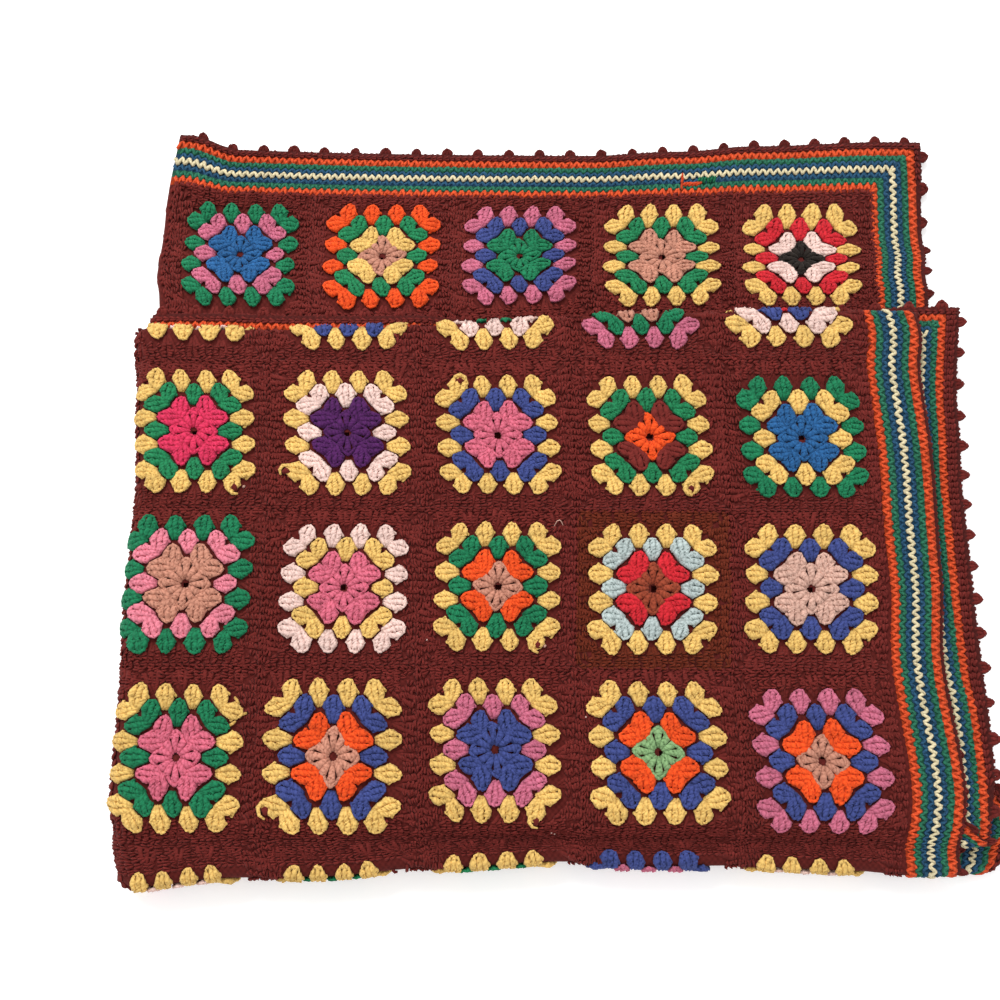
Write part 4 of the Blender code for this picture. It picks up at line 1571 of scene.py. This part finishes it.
@dataclass
class GroundCloth:
    """The sheet of ground fabric under the stitches, with the open rings of the squares."""

    cloth: FoldedCloth
    border: Border
    thickness: float = 0.0024
    cell: float = 0.0145
    least_cell: float = 0.0004
    border_steps: int = 4
    spine_lines: tuple[float, ...] = (0.0, 0.0014, 0.0028, 0.0042, 0.0062, 0.0085, 0.012, 0.016, 0.0205,
                                      0.025, 0.029)
    top_fold_window: float = 0.02
    tight_radius: float = 0.004
    tight_step: float = 0.0014
    fold_step: float = 0.0025

    def _lines(self, count: int, pitch: float, edge: float, extra: Iterable[float]) -> np.ndarray:
        """Grid lines along one direction, with a narrow cell at each square's middle.

        Args:
            count: Number of squares.
            pitch: Length of a square.
            edge: Width of the border.
            extra: More lines.

        Returns:
            Places of the lines from the cloth's middle.
        """
        half_hole = self.cloth.ring_hole / 2
        reach = pitch / 2 - half_hole
        steps = round(reach / self.cell)
        lines: list[float] = list(extra)
        for number in range(count):
            middle = -count * pitch / 2 + (number + 0.5) * pitch
            lines += [middle + side * (half_hole + reach * i / steps)
                      for side in (-1, 1) for i in range(steps + 1)]
        lines += [side * (count * pitch / 2 + edge * i / self.border_steps)
                  for side in (-1, 1) for i in range(1, self.border_steps + 1)]
        ordered = np.unique(np.round(lines, 6))
        return ordered[np.concatenate(([True], np.diff(ordered) > self.least_cell))]

    def _bands(self, verts: np.ndarray) -> np.ndarray:
        """Places across the striped bands, 0 at the squares and 1 at the brown edge.

        Args:
            verts: Points of the flat grid.

        Returns:
            Place across the band of the nearest long edge and of the nearest short edge.
        """
        cloth = self.cloth
        s, v = verts[:, 0], verts[:, 1]
        columns = []
        for name, inset in ((np.where(s > 0, "upper", "lower"), cloth.half_width - np.abs(s)),
                            (np.full(len(s), "end"), np.minimum(v, cloth.length - v))):
            inner, outer = (np.where(name == "upper", self.border.inset("upper", share, v),
                                     self.border.inset("end", share, v)) for share in (0.0, 1.0))
            columns.append((inner - inset) / (inner - outer))
        return np.stack(columns, axis=-1)

    def _fold_lines(self) -> list[float]:
        """Close grid lines at each fold.

        Returns:
            Places of the lines along the cloth.
        """
        cloth = self.cloth
        lines: list[float] = []
        for piece in cloth.pieces:
            if piece.is_fold:
                at_top = abs(piece.start - cloth.top_fold_v) < self.top_fold_window
                early = cloth.top_fold_draw if at_top else 0.0
                step = self.tight_step if piece.radius < self.tight_radius else self.fold_step
                lines += list(np.arange(piece.start - early - MM, piece.start + piece.length + 2 * MM, step))
        return lines

    def _in_ring(self, lines: np.ndarray, middles: Sequence[float]) -> np.ndarray:
        """Which of the cells between grid lines lie in an open ring."""
        cells = (lines[1:] + lines[:-1]) / 2
        return np.abs(cells[:, None] - np.array(middles)[None, :]).min(axis=1) < self.cloth.ring_hole / 2

    def _flat_mesh(self) -> Mesh:
        """The flat grid without thickness, with the open rings and the two maps.

        Returns:
            The mesh.
        """
        cloth = self.cloth
        spine = [side * x for side in (-1, 1) for x in self.spine_lines]
        across = self._lines(cloth.columns, cloth.square_width, cloth.border, spine)
        folds = [v - cloth.length / 2 for v in self._fold_lines()]
        along = self._lines(cloth.rows, cloth.square_length, cloth.border, folds) + cloth.length / 2
        grid_s, grid_v = np.meshgrid(across, along, indexing="ij")
        verts = np.stack([grid_s.ravel(), grid_v.ravel(), np.zeros(grid_s.size)], axis=-1)
        open_s = self._in_ring(across, [cloth.square_middle(column, 0)[0] for column in range(cloth.columns)])
        open_v = self._in_ring(along, [cloth.square_middle(0, row)[1] for row in range(cloth.rows)])
        count = len(along)
        faces = [(i * count + j, (i + 1) * count + j, (i + 1) * count + j + 1, i * count + j + 1)
                 for i in range(len(open_s)) for j in range(len(open_v)) if not (open_s[i] and open_v[j])]
        mesh = bpy.data.meshes.new("ground_cloth")
        mesh.from_pydata(verts.tolist(), [], faces)
        loops = np.empty(len(mesh.loops), dtype=np.int64)
        mesh.loops.foreach_get("vertex_index", loops)
        for name, values in ((YarnShop.CLOTH_MAP, verts[:, :2]), (YarnShop.STRIPE_MAP, self._bands(verts))):
            layer = mesh.uv_layers.new(name=name)
            layer.data.foreach_set("uv", values[loops].astype(np.float32).ravel())
        mesh.shade_smooth()
        return mesh

    def build(self, setter: StitchSetter, material: Material) -> Object:
        """The folded sheet.

        Args:
            setter: Folds the flat sheet.
            material: The ground fabric.

        Returns:
            The sheet's object.
        """
        mesh = self._flat_mesh()
        sheet = bpy.data.objects.new("ground_cloth", mesh)
        bpy.context.scene.collection.objects.link(sheet)
        wall = sheet.modifiers.new("thickness", "SOLIDIFY")
        wall.thickness = self.thickness
        wall.offset = 0.0
        graph = bpy.context.evaluated_depsgraph_get()
        solid = bpy.data.meshes.new_from_object(sheet.evaluated_get(graph), depsgraph=graph)
        sheet.modifiers.remove(wall)
        sheet.data = solid
        bpy.data.meshes.remove(mesh)
        setter.fold(solid)
        solid.materials.clear()
        solid.materials.append(material)
        return sheet


@dataclass
class Blanket:
    """The whole dressed blanket."""

    cloth: FoldedCloth
    shop: YarnShop = field(default_factory=YarnShop)
    fine_from_s: float = -0.036
    margin: float = 0.01
    colour_seed: int = 100
    row_seeds: tuple[int, int] = (31, 37)
    edge_seed: int = 51
    colour_jitters: tuple[float, float] = (0.10, 0.06)
    row_jitters: tuple[float, float] = (0.34, 0.16)
    edge_jitters: tuple[float, float] = (0.12, 0.09)
    triangles: int = 0

    def __post_init__(self) -> None:
        """Makes the helpers that need the cloth."""
        self.setter = StitchSetter(self.cloth, self.shop, StitchMaker())
        self.border = Border(self.cloth)
        self.pieces: list[Object] = []

    def faces(self) -> list[Face]:
        """The faces of the stack that show, above, round the spine and underneath.

        Returns:
            The faces.
        """
        spine = self.fine_from_s
        wide = self.cloth.half_width + self.margin
        squares_end = self.cloth.half_width - self.cloth.border
        # The front, its underside, the free end and its underside
        return [Face(1, 0.556, 1.062, spine, squares_end, Detail.FINE),
                Face(1, 0.590, 1.040, -wide, spine, Detail.PLAIN),
                Face(-1, 0.0, 0.185, -0.004, wide, Detail.FINE),
                Face(-1, 0.0, 0.185, -wide, -0.004, Detail.PLAIN)]

    def striped_faces(self) -> list[Face]:
        """The faces on which the border's stripes are stitched.

        Returns:
            The faces.
        """
        wide = self.cloth.half_width + self.margin
        long = self.cloth.length + self.margin
        # The front, the free end, the hidden end, its open side, its turn, and the lower half's near corner
        return [Face(*place, Detail.FINE) for place in (
            (1, 0.556, 1.062, 0.0, wide), (-1, -self.margin, 0.20, -0.004, wide), (1, 1.802, long, 0.0, wide),
            (1, 1.420, 1.802, 0.5, wide), (-1, 1.375, 1.433, 0.5, wide), (1, 0.40, 0.64, -wide, -0.5))]

    def _piece(self, made: Object, slot: str) -> None:
        """Counts an object as a piece of the blanket.

        Args:
            made: The object.
            slot: Name of a slot; not used.
        """
        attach(made, BODY)
        made.data.calc_loop_triangles()
        self.triangles += len(made.data.loop_triangles)
        log.info("%s: %d triangles", made.name, len(made.data.loop_triangles))

    def _stitched(self, name: str, layout: Layout, yarn: Yarn, seed: int,
                  jitters: tuple[float, float]) -> None:
        """Puts the folded stitches of a layout in the scene as one piece.

        Args:
            name: Name of the piece.
            layout: Places of the stitches.
            yarn: Yarn of the stitches.
            seed: Seed of the random changes.
            jitters: Most that a stitch turns and grows at random.
        """
        mesh = self.setter.set_out(name, layout, yarn, seed, *jitters)
        mesh.name = name
        made = bpy.data.objects.new(name, mesh)
        bpy.context.scene.collection.objects.link(made)
        self._piece(made, (Yarn.GROUND if yarn is Yarn.OLIVE else yarn).value.slot)
        self.pieces.append(made)

    def build_stitches(self) -> None:
        """The stitches of the squares and the border, one piece a yarn, and the brown ones in parts."""
        squares = Squares(self.cloth)
        layouts: dict[Yarn, Layout] = defaultdict(Layout)
        for face in self.faces():
            squares.lay(face, layouts)
        self.border.lay(self.striped_faces(), layouts)
        LooseBits().lay(layouts)
        ground = layouts.pop(Yarn.GROUND)
        ordered = sorted(layouts, key=lambda item: item.value.slot)
        for seed, yarn in enumerate(ordered, start=self.colour_seed):
            name = yarn.value.slot.replace("yarn_", "clusters_").replace("border_", "stripes_")
            self._stitched(name, layouts[yarn], yarn, seed, self.colour_jitters)
        names = ("ground_rows_near", "ground_rows_far")
        for name, part, seed in zip(names, ground.halves(), self.row_seeds):
            self._stitched(name, part, Yarn.GROUND, seed, self.row_jitters)
        edge = Layout()
        self.border.lay_edge(edge)
        self.border.lay_brown(self.striped_faces(), edge)
        self._stitched("brown_edge", edge, Yarn.GROUND, self.edge_seed, self.edge_jitters)

    def build(self) -> None:
        """Builds the ground sheet and the stitched pieces, and hides the imported cloth."""
        sheet = GroundCloth(self.cloth, self.border).build(self.setter, self.shop.cloth(STRIPES))
        self._piece(sheet, Yarn.GROUND.value.slot)
        self.build_stitches()
        log.info("in all: %d triangles", self.triangles)
        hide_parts(CLOTH_NODE)
        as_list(self.pieces)


# --------------------------------------------------------------------------- studio

@dataclass
class Studio:
    """Pale floor, soft light and the camera."""

    FLOOR = {"Base Color": (0.97, 0.97, 0.97, 1.0), "Roughness": 0.95, "Emission Color": (1.0, 1.0, 1.0, 1.0),
             "Emission Strength": 0.22}
    LAMPS = {"key": ((-0.8, 1.5, 2.0), 1.2, 56.0), "fill": ((1.4, -0.8, 2.0), 2.0, 9.0)}

    cloth: FoldedCloth
    floor_reach: float = 6.0
    surround: float = 0.86
    eye: tuple[float, float, float] = (0.001, 0.070, 0.805)
    pitch: float = math.radians(75.0)
    roll: float = math.radians(0.39)
    focal_pixels: float = 1053.0
    frame_pixels: float = 1000.0
    sensor_mm: float = 36.0

    def floor(self) -> None:
        """A wide, near white floor that glows a little, as over a light table."""
        mesh = bpy.data.meshes.new("floor")
        corners = [(x * self.floor_reach, y * self.floor_reach, 0.0)
                   for x, y in ((-1, -1), (1, -1), (1, 1), (-1, 1))]
        mesh.from_pydata(corners, [], [(0, 1, 2, 3)])
        material = bpy.data.materials.new("pale_floor")
        material.use_nodes = True
        for name, value in self.FLOOR.items():
            material.node_tree.nodes["Principled BSDF"].inputs[name].default_value = value
        mesh.materials.append(material)
        floor = bpy.data.objects.new("floor", mesh)
        bpy.context.scene.collection.objects.link(floor)

    def lights(self) -> None:
        """Even light from all round and a large soft lamp from the far left."""
        world = bpy.data.worlds.new("studio")
        world.use_nodes = True
        for name, value in {"Color": (1.0, 1.0, 1.0, 1.0), "Strength": self.surround}.items():
            world.node_tree.nodes["Background"].inputs[name].default_value = value
        bpy.context.scene.world = world
        for name, (place, size, power) in self.LAMPS.items():
            light = bpy.data.lights.new(name, "AREA")
            light.size = size
            light.energy = power
            lamp = bpy.data.objects.new(name, light)
            lamp.location = place
            aim = Vector((0.0, 0.0, 0.0)) - Vector(place)
            lamp.rotation_euler = aim.to_track_quat("-Z", "Y").to_euler()
            bpy.context.scene.collection.objects.link(lamp)

    def camera(self) -> None:
        """The camera, high over the near edge."""
        data = bpy.data.cameras.new("camera")
        data.sensor_width = self.sensor_mm
        data.lens = self.sensor_mm * self.focal_pixels / self.frame_pixels
        data.clip_start = 0.01
        camera = bpy.data.objects.new("camera", data)
        camera.location = (self.eye[0] + self.cloth.shift[0], self.eye[1] + self.cloth.shift[1], self.eye[2])
        tilt = Euler((math.pi / 2 - self.pitch, 0.0, 0.0)).to_matrix()
        twist = Euler((0.0, 0.0, self.roll)).to_matrix()
        camera.rotation_euler = (tilt @ twist).to_euler()
        bpy.context.scene.collection.objects.link(camera)
        bpy.context.scene.camera = camera

    def build(self) -> None:
        """Floor, lights and camera."""
        self.floor()
        self.lights()
        self.camera()
        bpy.context.scene.view_settings.view_transform = "Standard"


def main() -> None:
    """Builds the blanket and its studio."""
    logging.basicConfig(level=logging.INFO, format="%(name)s %(message)s")
    cloth = FoldedCloth()
    low, _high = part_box(CLOTH_NODE)
    cloth.fit_to(low)
    Studio(cloth).build()
    Blanket(cloth).build()
    bpy.context.view_layer.update()


if __name__ == "__main__":
    main()
